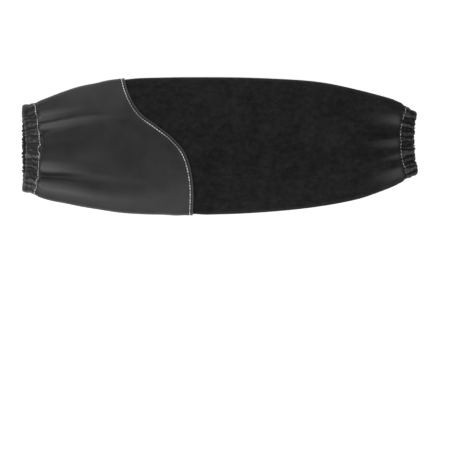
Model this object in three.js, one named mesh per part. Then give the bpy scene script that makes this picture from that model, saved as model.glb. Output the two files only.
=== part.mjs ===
// A welder's protective sleeve for the forearm, lying flat on a table as it does when it isn't worn.
// Two leathers make one tube: smooth leather at the upper arm and split suede down to the wrist, joined by an S-shaped
// lapped seam. A folded leather casing closes each end, and a narrow elastic band in it draws the cuff into gathers.
// Millimetres, +Z up. X runs along the sleeve with the wrist at +X, and Z = 0 is the table under the belly.
import * as THREE from "three";

// Overall sizes, as the sleeve lies.
const SLEEVE_LENGTH = 457;
const BODY_WIDTH = 159;
const BODY_HEIGHT = 37;
const UPPER_CUFF_WIDTH = 108;
const UPPER_MOUTH_WIDTH = 97.5;
const UPPER_CUFF_HEIGHT = 31;
const WRIST_CUFF_WIDTH = 90;
const WRIST_MOUTH_WIDTH = 71.5;
const WRIST_CUFF_HEIGHT = 29;

// Leather, elastic and the air left between separate pieces.
const SMOOTH_WALL = 1.2;
const SUEDE_WALL = 1.4;
const ELASTIC_THICKNESS = 1;
const ELASTIC_WIDTH = 8.5;
const SEAM_GAP = 0.4;
const CASING_GAP = 0.5;

// The casing at each end, measured along the sleeve at its side folds and at the middle of its layers.
const CASING_WIDTH_AT_SIDES = 12.6;
const UPPER_CASING_WIDTH = 15.5;
const WRIST_CASING_WIDTH = 14.2;
const STITCH_MARGIN = 1.6; // from the casing's edge to its stitches
const PANEL_TUCK = 1; // how far a panel runs into the casing past the stitches
const POCKET_END_WALLS = 1.5; // how many walls of leather lie between the rim and the pocket for the elastic

// The gathers round each casing: waves in its outer and inner layers, a little uneven in place and height.
const UPPER_GATHERS = 26;
const WRIST_GATHERS = 19;
const GATHER_HEIGHT = 2.2;
const INNER_GATHER_HEIGHT = 1.1;
const SCALLOP = 1.2; // how far a gather pushes the rim out along the sleeve
const GATHER_AT_STITCHES = 0.3; // the shares of a gather's height that are left at the stitches and at the rim
const GATHER_AT_RIM = 0.8;
const SMALLEST_GATHER = 0.6; // as a share of the largest
const GATHER_STRAY = 0.4; // how far a gather strays from its even place, as a share of the gathers' spacing

// The lapped seam: the smooth leather is folded under and lies over the suede.
const SEAM_LAP = 8;
const SEAM_HEM_THICKNESS = 1.9;
const SEAM_DIP = 0.8; // how far the suede is pressed in by the lap over it
const SEAM_RAMP = 6; // the length over which the smooth leather climbs onto the suede
const SEAM_SETTLE = 16; // the length over which the suede under the seam comes back down to the table

// Where the sleeve is widest, as a share of its length from the upper arm, and its side fold's height there.
const WIDEST_AT = 0.392;
const BODY_SIDE_LEVEL = 11;
const BODY_FOLD_RADIUS = 8; // how tightly the leather turns round at its side folds
const CUFF_FOLD_RADIUS = 7.5;
const TIGHTEST_ARC = 0.9; // the most of a section's rise that the side fold's arc may take
const BELLY_LANDS_AT = 0.3; // the share of a taper after which the underside lies on the table
const RING_SQUARENESS = 3; // how squarely the rims and stitch lines turn at the side folds
const UNDERSIDE_BEGINS = 3.5; // how soon below the side folds the leather counts as the underside

// How far each end's edge stands back from the sleeve's full length, round its rim.
const UPPER_RIM_SETBACK = { side: 1.2, top: 5, bottom: 1.2 };
const WRIST_RIM_SETBACK = { side: 1.2, top: 5, bottom: 2.6 };

// Each taper from its cuff's stitches (along 0) to the widest section (along 1): full is the share of the way from
// the cuff's width and height to the body's, and sway is the middle's sideways shift as a share of the body's width.
const UPPER_TAPER = [
  { along: 0, full: 0, sway: -0.006 },
  { along: 0.016, full: 0.12, sway: -0.008 },
  { along: 0.05, full: 0.205, sway: -0.006 },
  { along: 0.12, full: 0.335, sway: -0.003 },
  { along: 0.21, full: 0.483, sway: 0.004 },
  { along: 0.33, full: 0.665, sway: 0.008 },
  { along: 0.45, full: 0.786, sway: 0.008 },
  { along: 0.6, full: 0.918, sway: 0.007 },
  { along: 0.77, full: 0.974, sway: 0.003 },
  { along: 1, full: 1, sway: 0 },
];
const WRIST_TAPER = [
  { along: 0, full: 0, sway: 0 },
  { along: 0.014, full: 0.12, sway: 0 },
  { along: 0.05, full: 0.246, sway: -0.001 },
  { along: 0.12, full: 0.41, sway: -0.005 },
  { along: 0.19, full: 0.553, sway: -0.008 },
  { along: 0.26, full: 0.665, sway: -0.006 },
  { along: 0.33, full: 0.758, sway: -0.003 },
  { along: 0.42, full: 0.842, sway: -0.002 },
  { along: 0.54, full: 0.912, sway: -0.003 },
  { along: 0.7, full: 0.972, sway: -0.003 },
  { along: 0.85, full: 0.995, sway: -0.002 },
  { along: 1, full: 1, sway: 0 },
];

// The seam's folded edge: across is the share of the width from the +Y fold to the -Y fold, along the share of the
// length from the upper arm. The underside has the same curve.
const SEAM_CURVE = [
  { across: 0, along: 0.266 },
  { across: 0.1, along: 0.271 },
  { across: 0.2, along: 0.288 },
  { across: 0.28, along: 0.3125 },
  { across: 0.36, along: 0.351 },
  { across: 0.44, along: 0.384 },
  { across: 0.54, along: 0.411 },
  { across: 0.66, along: 0.427 },
  { across: 0.82, along: 0.435 },
  { across: 1, along: 0.436 },
];

// Folds that run out of each cuff. around counts half turns: 0 to 1 over the top from the +Y fold to the -Y fold, and
// 1 to 2 back underneath. drift is how far a fold turns over its reach. spread and depth are shares of the body's
// height, reach a share of the sleeve's length, and a negative depth is a valley.
const UPPER_FOLDS = [
  { around: 0.21, drift: 0.05, spread: 0.12, depth: -0.075, reach: 0.13 },
  { around: 0.28, drift: 0.03, spread: 0.16, depth: 0.06, reach: 0.16 },
  { around: 0.5, drift: 0, spread: 0.5, depth: -0.07, reach: 0.19 },
  { around: 0.71, drift: 0.01, spread: 0.18, depth: 0.06, reach: 0.1 },
  { around: 0.8, drift: -0.01, spread: 0.2, depth: -0.08, reach: 0.17 },
  { around: 0.89, drift: -0.02, spread: 0.22, depth: 0.05, reach: 0.19 },
  { around: 1.28, drift: 0.02, spread: 0.2, depth: -0.06, reach: 0.09 },
  { around: 1.55, drift: 0, spread: 0.2, depth: -0.06, reach: 0.08 },
  { around: 1.76, drift: -0.02, spread: 0.2, depth: -0.06, reach: 0.09 },
];
const WRIST_FOLDS = [
  { around: 0.23, drift: 0.02, spread: 0.2, depth: 0.05, reach: 0.06 },
  { around: 0.37, drift: -0.02, spread: 0.22, depth: -0.1, reach: 0.13 },
  { around: 0.52, drift: 0, spread: 0.2, depth: 0.05, reach: 0.07 },
  { around: 0.63, drift: -0.02, spread: 0.18, depth: -0.095, reach: 0.13 },
  { around: 0.86, drift: -0.02, spread: 0.2, depth: 0.05, reach: 0.06 },
  { around: 1.3, drift: 0.02, spread: 0.2, depth: -0.06, reach: 0.09 },
  { around: 1.5, drift: 0, spread: 0.2, depth: -0.06, reach: 0.08 },
  { around: 1.72, drift: -0.02, spread: 0.2, depth: -0.06, reach: 0.09 },
];
const FOLD_LEAD_IN = 0.02; // the share of the sleeve's length over which a fold opens beyond the casing

// How finely the shapes are cut.
const PANEL_POINTS_AROUND = 66;
const ELASTIC_POINTS_AROUND = 48;
const POINTS_PER_GATHER = 4;
const OUTLINE_STEPS = 24; // per quarter of a section's outline
const DENSE_AT_SIDES = 0.45; // how much closer a panel's points stand at its side folds

const HALF_LENGTH = SLEEVE_LENGTH / 2;
const PANEL_HALF_WALL = Math.max(SMOOTH_WALL, SUEDE_WALL, ELASTIC_THICKNESS) / 2;
const POCKET_HALF_DEPTH = PANEL_HALF_WALL + CASING_GAP;
const SEAM_OUTER_OFFSET = SUEDE_WALL / 2 + SEAM_GAP + SEAM_HEM_THICKNESS;

// An end of the sleeve, with what follows from its own sizes. end is -1 at the upper arm and 1 at the wrist.
function sleeveEnd(sizes) {
  const { end, wall, setback, casingWidth } = sizes;
  return {
    ...sizes,
    stack: POCKET_HALF_DEPTH + wall + GATHER_HEIGHT, // from the middle surface to the top of a gather
    toWidest: SLEEVE_LENGTH * (end < 0 ? WIDEST_AT : 1 - WIDEST_AT),
    sideRing: setback.side + CASING_WIDTH_AT_SIDES + STITCH_MARGIN, // the casing's edge
    topRing: setback.top + casingWidth + STITCH_MARGIN,
  };
}
const UPPER = sleeveEnd({
  end: -1,
  width: UPPER_CUFF_WIDTH,
  mouth: UPPER_MOUTH_WIDTH,
  height: UPPER_CUFF_HEIGHT,
  casingWidth: UPPER_CASING_WIDTH,
  setback: UPPER_RIM_SETBACK,
  wall: SMOOTH_WALL,
  gathers: UPPER_GATHERS,
  taper: UPPER_TAPER,
  folds: UPPER_FOLDS,
});
const WRIST = sleeveEnd({
  end: 1,
  width: WRIST_CUFF_WIDTH,
  mouth: WRIST_MOUTH_WIDTH,
  height: WRIST_CUFF_HEIGHT,
  casingWidth: WRIST_CASING_WIDTH,
  setback: WRIST_RIM_SETBACK,
  wall: SUEDE_WALL,
  gathers: WRIST_GATHERS,
  taper: WRIST_TAPER,
  folds: WRIST_FOLDS,
});

const mix = THREE.MathUtils.lerp;
const ease = (share) => THREE.MathUtils.smoothstep(share, 0, 1);

// Reads a column of a table as a smooth curve through its rows.
function readTable(rows, key, column, at) {
  const last = rows.length - 1;
  if (at <= rows[0][key]) return rows[0][column];
  if (at >= rows[last][key]) return rows[last][column];
  const i = rows.findIndex((row) => row[key] > at) - 1;
  const slope = (k) => {
    const a = rows[Math.max(k - 1, 0)];
    const b = rows[Math.min(k + 1, last)];
    return (b[column] - a[column]) / (b[key] - a[key]);
  };
  const span = rows[i + 1][key] - rows[i][key];
  const t = (at - rows[i][key]) / span;
  const from = rows[i][column];
  const to = rows[i + 1][column];
  const smooth = t * t * (3 - 2 * t);
  return (
    mix(from, to, smooth) + span * (t * (1 - t) ** 2 * slope(i) - t * t * (1 - t) * slope(i + 1))
  );
}

// The end whose taper a place on the sleeve belongs to, and the place's distance from that end.
function endOf(x) {
  const fromUpper = x + HALF_LENGTH;
  return fromUpper < UPPER.toWidest
    ? { cuff: UPPER, distance: fromUpper }
    : { cuff: WRIST, distance: HALF_LENGTH - x };
}

// The sizes of the middle surface's cross-section at x.
function sectionAt(x) {
  const { cuff, distance } = endOf(x);
  const alongFrom = (ring) => (distance - ring) / (cuff.toWidest - ring);
  const wide = readTable(cuff.taper, "along", "full", alongFrom(cuff.sideRing));
  const tall = readTable(cuff.taper, "along", "full", alongFrom(cuff.topRing));
  const cuffWidth = mix(cuff.mouth, cuff.width, Math.min(distance / cuff.sideRing, 1));
  return {
    centre: BODY_WIDTH * readTable(cuff.taper, "along", "sway", alongFrom(cuff.sideRing)),
    half: mix(cuffWidth / 2 - cuff.stack, (BODY_WIDTH - SUEDE_WALL) / 2, wide),
    fold: mix(CUFF_FOLD_RADIUS, BODY_FOLD_RADIUS, tall),
    low: mix(cuff.stack, SUEDE_WALL / 2, ease(alongFrom(cuff.topRing) / BELLY_LANDS_AT)),
    side: mix(cuff.height / 2, BODY_SIDE_LEVEL, tall),
    high: mix(cuff.height - cuff.stack, BODY_HEIGHT - SUEDE_WALL / 2, tall),
  };
}

// A quarter of a section's outline, from the side fold to the crown: a tight arc that runs into a wide one.
function topQuarter({ half, fold: asked, side, high }) {
  const rise = high - side;
  const fold = Math.min(asked, TIGHTEST_ARC * rise);
  const wide = (half ** 2 + rise ** 2 - 2 * half * fold) / (2 * (rise - fold));
  const meet = Math.atan2(wide - rise, half - fold);
  return Array.from({ length: OUTLINE_STEPS + 1 }, (_, i) => {
    const share = i / OUTLINE_STEPS;
    if (share <= 0.5) {
      const angle = 2 * share * meet;
      return [half - fold + fold * Math.cos(angle), side + fold * Math.sin(angle)];
    }
    const angle = mix(meet, Math.PI / 2, 2 * share - 1);
    return [wide * Math.cos(angle), side + rise - wide + wide * Math.sin(angle)];
  });
}

// A quarter from the side fold down to the middle of the flat underside.
function bottomQuarter({ half, fold, side, low }) {
  const drop = side - low;
  const curl = drop ** 2 / fold;
  const curve = Array.from({ length: OUTLINE_STEPS + 1 }, (_, i) => {
    const angle = (Math.PI * i) / (2 * OUTLINE_STEPS);
    return [half - curl + curl * Math.cos(angle), side - drop * Math.sin(angle)];
  });
  return [...curve, [0, low]];
}

// One half of a section's outline as points, over the top from +Y to -Y or back underneath, with its running length.
function halfOutline(section, top) {
  const quarter = top ? topQuarter(section) : bottomQuarter(section);
  const start = top ? 1 : -1;
  const mirrored = quarter.slice(0, -1).reverse();
  const points = [
    ...quarter.map(([y, z]) => [section.centre + start * y, z]),
    ...mirrored.map(([y, z]) => [section.centre - start * y, z]),
  ];
  const lengths = [0];
  for (let i = 1; i < points.length; i++) {
    const step = Math.hypot(points[i][0] - points[i - 1][0], points[i][1] - points[i - 1][1]);
    lengths.push(lengths[i - 1] + step);
  }
  return { points, lengths, length: lengths[lengths.length - 1] };
}

// A place on the middle surface's outline: around counts half turns, as in the tables of folds.
function outlinePoint(x, around) {
  const turns = ((around % 2) + 2) % 2;
  const outline = halfOutline(sectionAt(x), turns < 1);
  const target = (turns % 1) * outline.length;
  const after = Math.max(
    outline.lengths.findIndex((length) => length > target),
    1,
  );
  const before = after - 1;
  const share = (target - outline.lengths[before]) / (outline.lengths[after] - outline.lengths[before]);
  const [ay, az] = outline.points[before];
  const [by, bz] = outline.points[after];
  const size = Math.hypot(by - ay, bz - az);
  return {
    y: mix(ay, by, share),
    z: mix(az, bz, share),
    normal: [(bz - az) / size, (ay - by) / size],
    length: outline.length,
    turns,
  };
}

// How far over the top (1), at a side (0) or underneath (-1) a place lies.
function heightShare(around) {
  return Math.sin(Math.PI * around);
}

// How far a ring round an end stands back from the sleeve's full length. It turns square round the side folds.
function ringDistance(sides, top, bottom, around) {
  const height = heightShare(around);
  return mix(sides, height > 0 ? top : bottom, Math.abs(height) ** RING_SQUARENESS);
}
function rimDistance(cuff, around) {
  const { side, top, bottom } = cuff.setback;
  return ringDistance(side, top, bottom, around);
}
function stitchDistance(cuff, around) {
  const casing = ringDistance(CASING_WIDTH_AT_SIDES, cuff.casingWidth, cuff.casingWidth, around);
  return rimDistance(cuff, around) + casing;
}
const placeFrom = (cuff, distance) => cuff.end * (HALF_LENGTH - distance);

// The seam's folded edge along X, and how much longer a step along X is than one square to the seam.
function seamPlace(around) {
  const widest = placeFrom(UPPER, UPPER.toWidest);
  const placeAt = (turns) => {
    const { y } = outlinePoint(widest, turns);
    const across = 0.5 - (y - sectionAt(widest).centre) / (BODY_WIDTH - SUEDE_WALL);
    return { x: placeFrom(UPPER, SLEEVE_LENGTH * readTable(SEAM_CURVE, "across", "along", across)), y };
  };
  const nudge = 0.01;
  const before = placeAt(around - nudge);
  const after = placeAt(around + nudge);
  const run = 2 * nudge * outlinePoint(widest, around).length;
  return { x: placeAt(around).x, slant: Math.hypot(1, (after.x - before.x) / run) };
}

// How far the folds near a cuff push the middle surface outwards.
function foldOffset(x, around, length) {
  const { cuff, distance } = endOf(x);
  const beyond = distance - stitchDistance(cuff, around) - STITCH_MARGIN;
  if (beyond <= 0) return 0;
  let offset = 0;
  for (const fold of cuff.folds) {
    const reach = fold.reach * SLEEVE_LENGTH;
    const centre = fold.around + fold.drift * Math.min(beyond / reach, 1);
    const away = ((around - centre) * length) / (fold.spread * BODY_HEIGHT);
    const lengthwise = ease(beyond / (FOLD_LEAD_IN * SLEEVE_LENGTH)) * Math.exp(-((beyond / reach) ** 2));
    offset += fold.depth * BODY_HEIGHT * lengthwise * Math.exp(-away * away);
  }
  return offset;
}

// How far the middle surface moves inwards at the seam: a little all round, and on the underside by the whole
// thickness of the lap, which lies on the table.
function seamDip(x, around) {
  const { x: edge, slant } = seamPlace(around);
  const behind = (edge - x) / slant;
  const rise = ease((SEAM_LAP + SEAM_RAMP - behind) / SEAM_RAMP);
  const settle = ease((behind + SEAM_SETTLE) / SEAM_SETTLE);
  const under = ease(-UNDERSIDE_BEGINS * heightShare(around));
  return rise * settle * mix(SEAM_DIP, SEAM_OUTER_OFFSET - SUEDE_WALL / 2, under);
}

// The leather's middle surface.
function middle(x, around) {
  const { y, z, normal, length, turns } = outlinePoint(x, around);
  const out = foldOffset(x, turns, length) - seamDip(x, turns);
  return new THREE.Vector3(x, y + normal[0] * out, z + normal[1] * out);
}

// A point at a height above the middle surface, square to it.
function above(x, around, height) {
  const nudgeAlong = 0.5;
  const nudgeAround = 0.004;
  const alongX = middle(x + nudgeAlong, around).sub(middle(x - nudgeAlong, around));
  const aroundIt = middle(x, around + nudgeAround).sub(middle(x, around - nudgeAround));
  const normal = aroundIt.cross(alongX).normalize();
  return middle(x, around).addScaledVector(normal, height);
}

// A closed ring swept round the sleeve: profile(around, index) gives one closed loop of points for each place.
function sweptRing(places, profile) {
  const loops = places.map((around, index) => profile(around, index));
  const size = loops[0].length;
  const positions = loops.flat().flatMap((point) => point.toArray());
  const indices = [];
  for (let i = 0; i < loops.length; i++) {
    const next = ((i + 1) % loops.length) * size;
    for (let k = 0; k < size; k++) {
      const ahead = (k + 1) % size;
      const corners = [i * size + k, i * size + ahead, next + ahead, next + k];
      indices.push(corners[0], corners[2], corners[1], corners[0], corners[3], corners[2]);
    }
  }
  const geometry = new THREE.BufferGeometry();
  geometry.setAttribute("position", new THREE.Float32BufferAttribute(positions, 3));
  geometry.setIndex(indices);
  geometry.computeVertexNormals();
  return geometry;
}

// Even places round the sleeve, drawn closer together at the side folds.
function placesAround(count, dense) {
  return Array.from({ length: count }, (_, i) => {
    const even = (2 * i) / count;
    return even - (dense * Math.sin(2 * Math.PI * even)) / (2 * Math.PI);
  });
}

// The loop of a wall: its outer line of {x, height}, then its inner line back.
function wallLoop(around, outer, inner) {
  return [...outer, ...inner.reverse()].map(({ x, height }) => above(x, around, height));
}

// The smooth leather from inside the upper cuff to the seam's folded edge.
const SMOOTH_STATIONS = [0, 0.05, 0.12, 0.24, 0.4, 0.58, 0.78, 1];
function smoothPanel() {
  return sweptRing(placesAround(PANEL_POINTS_AROUND, DENSE_AT_SIDES), (around) => {
    const start = placeFrom(UPPER, stitchDistance(UPPER, around) - PANEL_TUCK);
    const casingEdge = placeFrom(UPPER, stitchDistance(UPPER, around) + STITCH_MARGIN);
    const { x: edge, slant } = seamPlace(around);
    const rampStart = edge - (SEAM_LAP + SEAM_RAMP) * slant;
    const rampEnd = edge - (SEAM_LAP + SEAM_GAP) * slant;
    const body = [start, ...SMOOTH_STATIONS.map((share) => mix(casingEdge, rampStart, share))];
    const round = SEAM_HEM_THICKNESS / 2;
    const hemBottom = SUEDE_WALL / 2 + SEAM_GAP;
    const outer = body.map((x) => ({ x, height: SMOOTH_WALL / 2 }));
    outer.push({ x: rampEnd, height: SEAM_OUTER_OFFSET });
    outer.push({ x: edge - round * slant, height: SEAM_OUTER_OFFSET });
    outer.push({ x: edge, height: hemBottom + round });
    const inner = body.map((x) => ({ x, height: -SMOOTH_WALL / 2 }));
    inner.push({ x: rampEnd, height: hemBottom });
    inner.push({ x: edge - round * slant, height: hemBottom });
    return wallLoop(around, outer, inner);
  });
}

// The suede from under the lapped seam to inside the wrist cuff.
const SUEDE_STATIONS = [0, 0.06, 0.17, 0.33, 0.5, 0.67, 0.81, 0.91, 0.962, 0.988, 1];
function suedePanel() {
  return sweptRing(placesAround(PANEL_POINTS_AROUND, DENSE_AT_SIDES), (around) => {
    const end = placeFrom(WRIST, stitchDistance(WRIST, around) - PANEL_TUCK);
    const casingEdge = placeFrom(WRIST, stitchDistance(WRIST, around) + STITCH_MARGIN);
    const { x: edge, slant } = seamPlace(around);
    const stations = SUEDE_STATIONS.map((share) => mix(edge, casingEdge, share));
    const line = [edge - SEAM_LAP * slant, ...stations, end];
    const outer = line.map((x) => ({ x, height: SUEDE_WALL / 2 }));
    const inner = line.map((x) => ({ x, height: -SUEDE_WALL / 2 }));
    return wallLoop(around, outer, inner);
  });
}

// The points round a cuff, each with its place and how far up its gather it lies. Slow waves make them uneven.
function gatherPoints(cuff) {
  const count = cuff.gathers * POINTS_PER_GATHER;
  const stray = GATHER_STRAY / cuff.gathers;
  return Array.from({ length: count }, (_, i) => {
    const turn = (2 * Math.PI * i) / count;
    const slowWaves = Math.sin(3 * turn + 1) + Math.sin(5 * turn) / 2;
    const wave = (1 + Math.cos((2 * Math.PI * i) / POINTS_PER_GATHER)) / 2;
    const size = mix(SMALLEST_GATHER, 1, (1 + Math.sin(7 * turn + cuff.end)) / 2);
    return { around: (2 * i) / count + stray * slowWaves, gather: wave * size };
  });
}

// A casing: a strip of leather folded over the end, drawn up in gathers round a pocket for the elastic.
function casing(cuff) {
  const gathered = gatherPoints(cuff);
  return sweptRing(
    gathered.map(({ around }) => around),
    (around, index) => {
      const { gather } = gathered[index];
      const rim = rimDistance(cuff, around) - SCALLOP * gather;
      const stitches = stitchDistance(cuff, around);
      const edge = stitches + STITCH_MARGIN;
      const crest = (rim + stitches) / 2;
      const shoulder = rim + cuff.wall;
      const pocketEnd = rim + POCKET_END_WALLS * cuff.wall;
      const layer = POCKET_HALF_DEPTH + cuff.wall;
      const outer = (share) => layer + share * gather * GATHER_HEIGHT;
      const inner = (share) => -layer - share * gather * INNER_GATHER_HEIGHT;
      const loop = [
        [edge, outer(GATHER_AT_STITCHES)],
        [stitches, outer(GATHER_AT_STITCHES)],
        [crest, outer(1)],
        [shoulder, outer(GATHER_AT_RIM)],
        [rim, 0],
        [shoulder, inner(GATHER_AT_RIM)],
        [crest, inner(1)],
        [stitches, inner(GATHER_AT_STITCHES)],
        [edge, inner(GATHER_AT_STITCHES)],
        [edge, -POCKET_HALF_DEPTH],
        [pocketEnd, -POCKET_HALF_DEPTH],
        [pocketEnd, POCKET_HALF_DEPTH],
        [edge, POCKET_HALF_DEPTH],
      ];
      const points = loop.map(([distance, height]) => above(placeFrom(cuff, distance), around, height));
      return cuff.end < 0 ? points.reverse() : points;
    },
  );
}

// The elastic band in a casing, between the rim and the end of the panel.
function elastic(cuff) {
  return sweptRing(placesAround(ELASTIC_POINTS_AROUND, DENSE_AT_SIDES), (around) => {
    const pocketEnd = rimDistance(cuff, around) + POCKET_END_WALLS * cuff.wall;
    const panelEnd = stitchDistance(cuff, around) - PANEL_TUCK;
    const centre = (pocketEnd + panelEnd) / 2;
    const ends = [centre + ELASTIC_WIDTH / 2, centre - ELASTIC_WIDTH / 2];
    const line = ends.map((distance) => placeFrom(cuff, distance)).sort((a, b) => a - b);
    const outer = line.map((x) => ({ x, height: ELASTIC_THICKNESS / 2 }));
    const inner = line.map((x) => ({ x, height: -ELASTIC_THICKNESS / 2 }));
    return wallLoop(around, outer, inner);
  });
}

const SMOOTH_LEATHER = new THREE.MeshStandardMaterial({ color: 0x3a3a3a, roughness: 0.55, metalness: 0 });
const SUEDE = new THREE.MeshStandardMaterial({ color: 0x202020, roughness: 0.95, metalness: 0 });
const ELASTIC = new THREE.MeshStandardMaterial({ color: 0xd8d6cf, roughness: 0.85, metalness: 0 });

function piece(name, geometry, material) {
  const mesh = new THREE.Mesh(geometry, material);
  mesh.name = name;
  return mesh;
}

const sleeve = new THREE.Group();
sleeve.add(
  piece("smooth_leather_panel", smoothPanel(), SMOOTH_LEATHER),
  piece("suede_panel", suedePanel(), SUEDE),
  piece("upper_arm_cuff_casing", casing(UPPER), SMOOTH_LEATHER),
  piece("wrist_cuff_casing", casing(WRIST), SUEDE),
  piece("upper_arm_elastic", elastic(UPPER), ELASTIC),
  piece("wrist_elastic", elastic(WRIST), ELASTIC),
);

export default sleeve;
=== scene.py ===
"""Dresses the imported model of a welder's leather sleeve that lies flat on a pale table.

The two leather panels, the two gathered cuffs, the elastic tapes inside them and every row of stitches are made
here, round the same middle surface as the solids. Sizes are millimetres until a mesh is written, in metres.
"""

import logging
import math
from abc import ABC, abstractmethod
from collections.abc import Callable, Sequence
from dataclasses import dataclass, field
from enum import Enum

import bmesh
import bpy
import numpy as np
from mathutils import Matrix, Vector


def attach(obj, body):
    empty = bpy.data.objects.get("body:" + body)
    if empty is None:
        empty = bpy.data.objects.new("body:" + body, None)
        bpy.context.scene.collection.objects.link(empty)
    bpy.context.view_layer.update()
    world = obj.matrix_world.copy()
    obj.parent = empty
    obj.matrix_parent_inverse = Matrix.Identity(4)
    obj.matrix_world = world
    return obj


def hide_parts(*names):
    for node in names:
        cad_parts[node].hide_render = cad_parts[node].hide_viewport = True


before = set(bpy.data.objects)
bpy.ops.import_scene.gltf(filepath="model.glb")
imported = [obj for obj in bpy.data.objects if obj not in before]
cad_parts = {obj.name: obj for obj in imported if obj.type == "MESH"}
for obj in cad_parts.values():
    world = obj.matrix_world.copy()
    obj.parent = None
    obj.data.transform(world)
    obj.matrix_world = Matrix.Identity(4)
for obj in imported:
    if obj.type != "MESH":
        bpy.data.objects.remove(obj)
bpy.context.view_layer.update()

LOG = logging.getLogger("welding_sleeve")
METRES = 0.001  # a millimetre
SAME_PLACE = 1e-6  # metres, within which two points are one
BODY = "root"
WAVE_PHASE = 20  # radians that a wave texture turns over one unit
Values = np.ndarray | float  # one number, or one for each place


class Slot(Enum):
    """The record's material slots."""

    SMOOTH = "smooth_leather"
    SUEDE = "split_suede"
    ELASTIC = "elastic"
    THREAD = "thread"


class Held(Enum):
    """How a leather sheet is held."""

    GATHERED = "gathered"


# --------------------------------------------------------------------------------------------------------------
# The sleeve's form


@dataclass(frozen=True)
class TaperRow:
    """One row of a taper, from a cuff's stitches (along 0) to the widest section (along 1).

    full is the share of the way from the cuff's size to the body's. sway is the middle's sideways shift as a
    share of the body's width.
    """

    along: float
    full: float
    sway: float


@dataclass(frozen=True)
class SeamRow:
    """One row of the seam's curve: shares of the width from the +Y fold, and of the length from the upper arm."""

    across: float
    along: float


@dataclass(frozen=True)
class Fold:
    """A fold that runs out of a cuff.

    around counts half turns: 0 to 1 over the top from the +Y fold to the -Y fold, and 1 to 2 back underneath.
    drift is how far the fold turns over its reach. spread and depth are millimetres, and a negative depth is a
    valley. reach and peak, where the fold is strongest, are shares of the sleeve's length.
    """

    around: float
    drift: float
    spread: float
    depth: float
    reach: float
    peak: float = 0.0


@dataclass(frozen=True)
class Swell:
    """A slow wave over the top: its height, the millimetres and half turns of its phase, and where it starts."""

    height: float
    along: float
    turn: float
    start: float


@dataclass(frozen=True)
class Setback:
    """How far an end's edge stands back from the full length at its sides, its top and its underside."""

    side: float
    top: float
    bottom: float


def mix(start: Values, end: Values, share: Values) -> Values:
    """Returns the value a share of the way from start to end."""
    return start + (end - start) * share


def ease(share: Values) -> Values:
    """Returns a share from 0 to 1 with a soft start and end."""
    held = np.clip(share, 0.0, 1.0)
    return held * held * (3.0 - 2.0 * held)


def bump(distance: Values, width: float) -> Values:
    """Returns a soft round bump, 1 in its middle and almost 0 at twice its width."""
    return np.exp(-((distance / width) ** 2))


def table(kind: type, *rows: tuple[float, ...]) -> tuple:
    """Returns a table of one kind of row, each given by its fields in order."""
    return tuple(kind(*row) for row in rows)


def read_table(rows: Sequence[object], key: str, column: str, at: np.ndarray) -> np.ndarray:
    """Reads a column of a table as a smooth curve through its rows.

    Args:
        rows: the table's rows, in the order of key.
        key: the column that at is measured in.
        column: the column to read.
        at: the places to read it at.

    Returns:
        The column's value at each place.
    """
    keys = np.array([getattr(row, key) for row in rows])
    values = np.array([getattr(row, column) for row in rows])
    slopes = np.empty_like(values)
    slopes[1:-1] = (values[2:] - values[:-2]) / (keys[2:] - keys[:-2])
    slopes[0] = (values[1] - values[0]) / (keys[1] - keys[0])
    slopes[-1] = (values[-1] - values[-2]) / (keys[-1] - keys[-2])
    held = np.clip(at, keys[0], keys[-1])
    i = np.clip(np.searchsorted(keys, held, side="right") - 1, 0, len(keys) - 2)
    span = keys[i + 1] - keys[i]
    t = (held - keys[i]) / span
    level = mix(values[i], values[i + 1], t * t * (3 - 2 * t))
    return level + span * (t * (1 - t) ** 2 * slopes[i] - t * t * (1 - t) * slopes[i + 1])


UPPER_TAPER = table(
    TaperRow,
    (0, 0, -0.006),
    (0.016, 0.105, -0.0105),
    (0.05, 0.21, -0.009),
    (0.12, 0.346, -0.0055),
    (0.21, 0.489, 0.0025),
    (0.33, 0.665, 0.008),
    (0.45, 0.786, 0.008),
    (0.6, 0.918, 0.007),
    (0.77, 0.974, 0.003),
    (1, 1, 0),
)
WRIST_TAPER = table(
    TaperRow,
    (0, 0, 0),
    (0.014, 0.115, 0),
    (0.05, 0.246, -0.001),
    (0.12, 0.41, -0.005),
    (0.19, 0.553, -0.008),
    (0.26, 0.665, -0.006),
    (0.33, 0.758, -0.003),
    (0.42, 0.842, -0.002),
    (0.54, 0.912, -0.003),
    (0.7, 0.972, -0.003),
    (0.85, 0.995, -0.002),
    (1, 1, 0),
)
SEAM_CURVE = table(
    SeamRow,
    (0, 0.266),
    (0.1, 0.2755),
    (0.2, 0.2912),
    (0.28, 0.3132),
    (0.36, 0.3497),
    (0.44, 0.384),
    (0.54, 0.4131),
    (0.66, 0.4286),
    (0.82, 0.4353),
    (1, 0.4325),
)
UPPER_FOLDS = table(
    Fold,
    (0.2, 0.03, 5.2, 2.7, 0.075),
    (0.25, 0.025, 1.6, -1.6, 0.1),
    (0.3, 0.02, 4.6, 4.2, 0.13),
    (0.357, 0, 2.2, -2.0, 0.025),
    (0.45, 0, 15.5, -5.2, 0.17),
    (0.68, 0, 7.6, 4.2, 0.08),
    (0.764, 0, 6.6, -4.7, 0.16),
    (0.828, 0.04, 7.2, 3.7, 0.15),
    (1.28, 0.02, 7.4, -2.2, 0.09),
    (1.55, 0, 7.4, -2.2, 0.08),
    (1.76, -0.02, 7.4, -2.2, 0.09),
)
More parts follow.
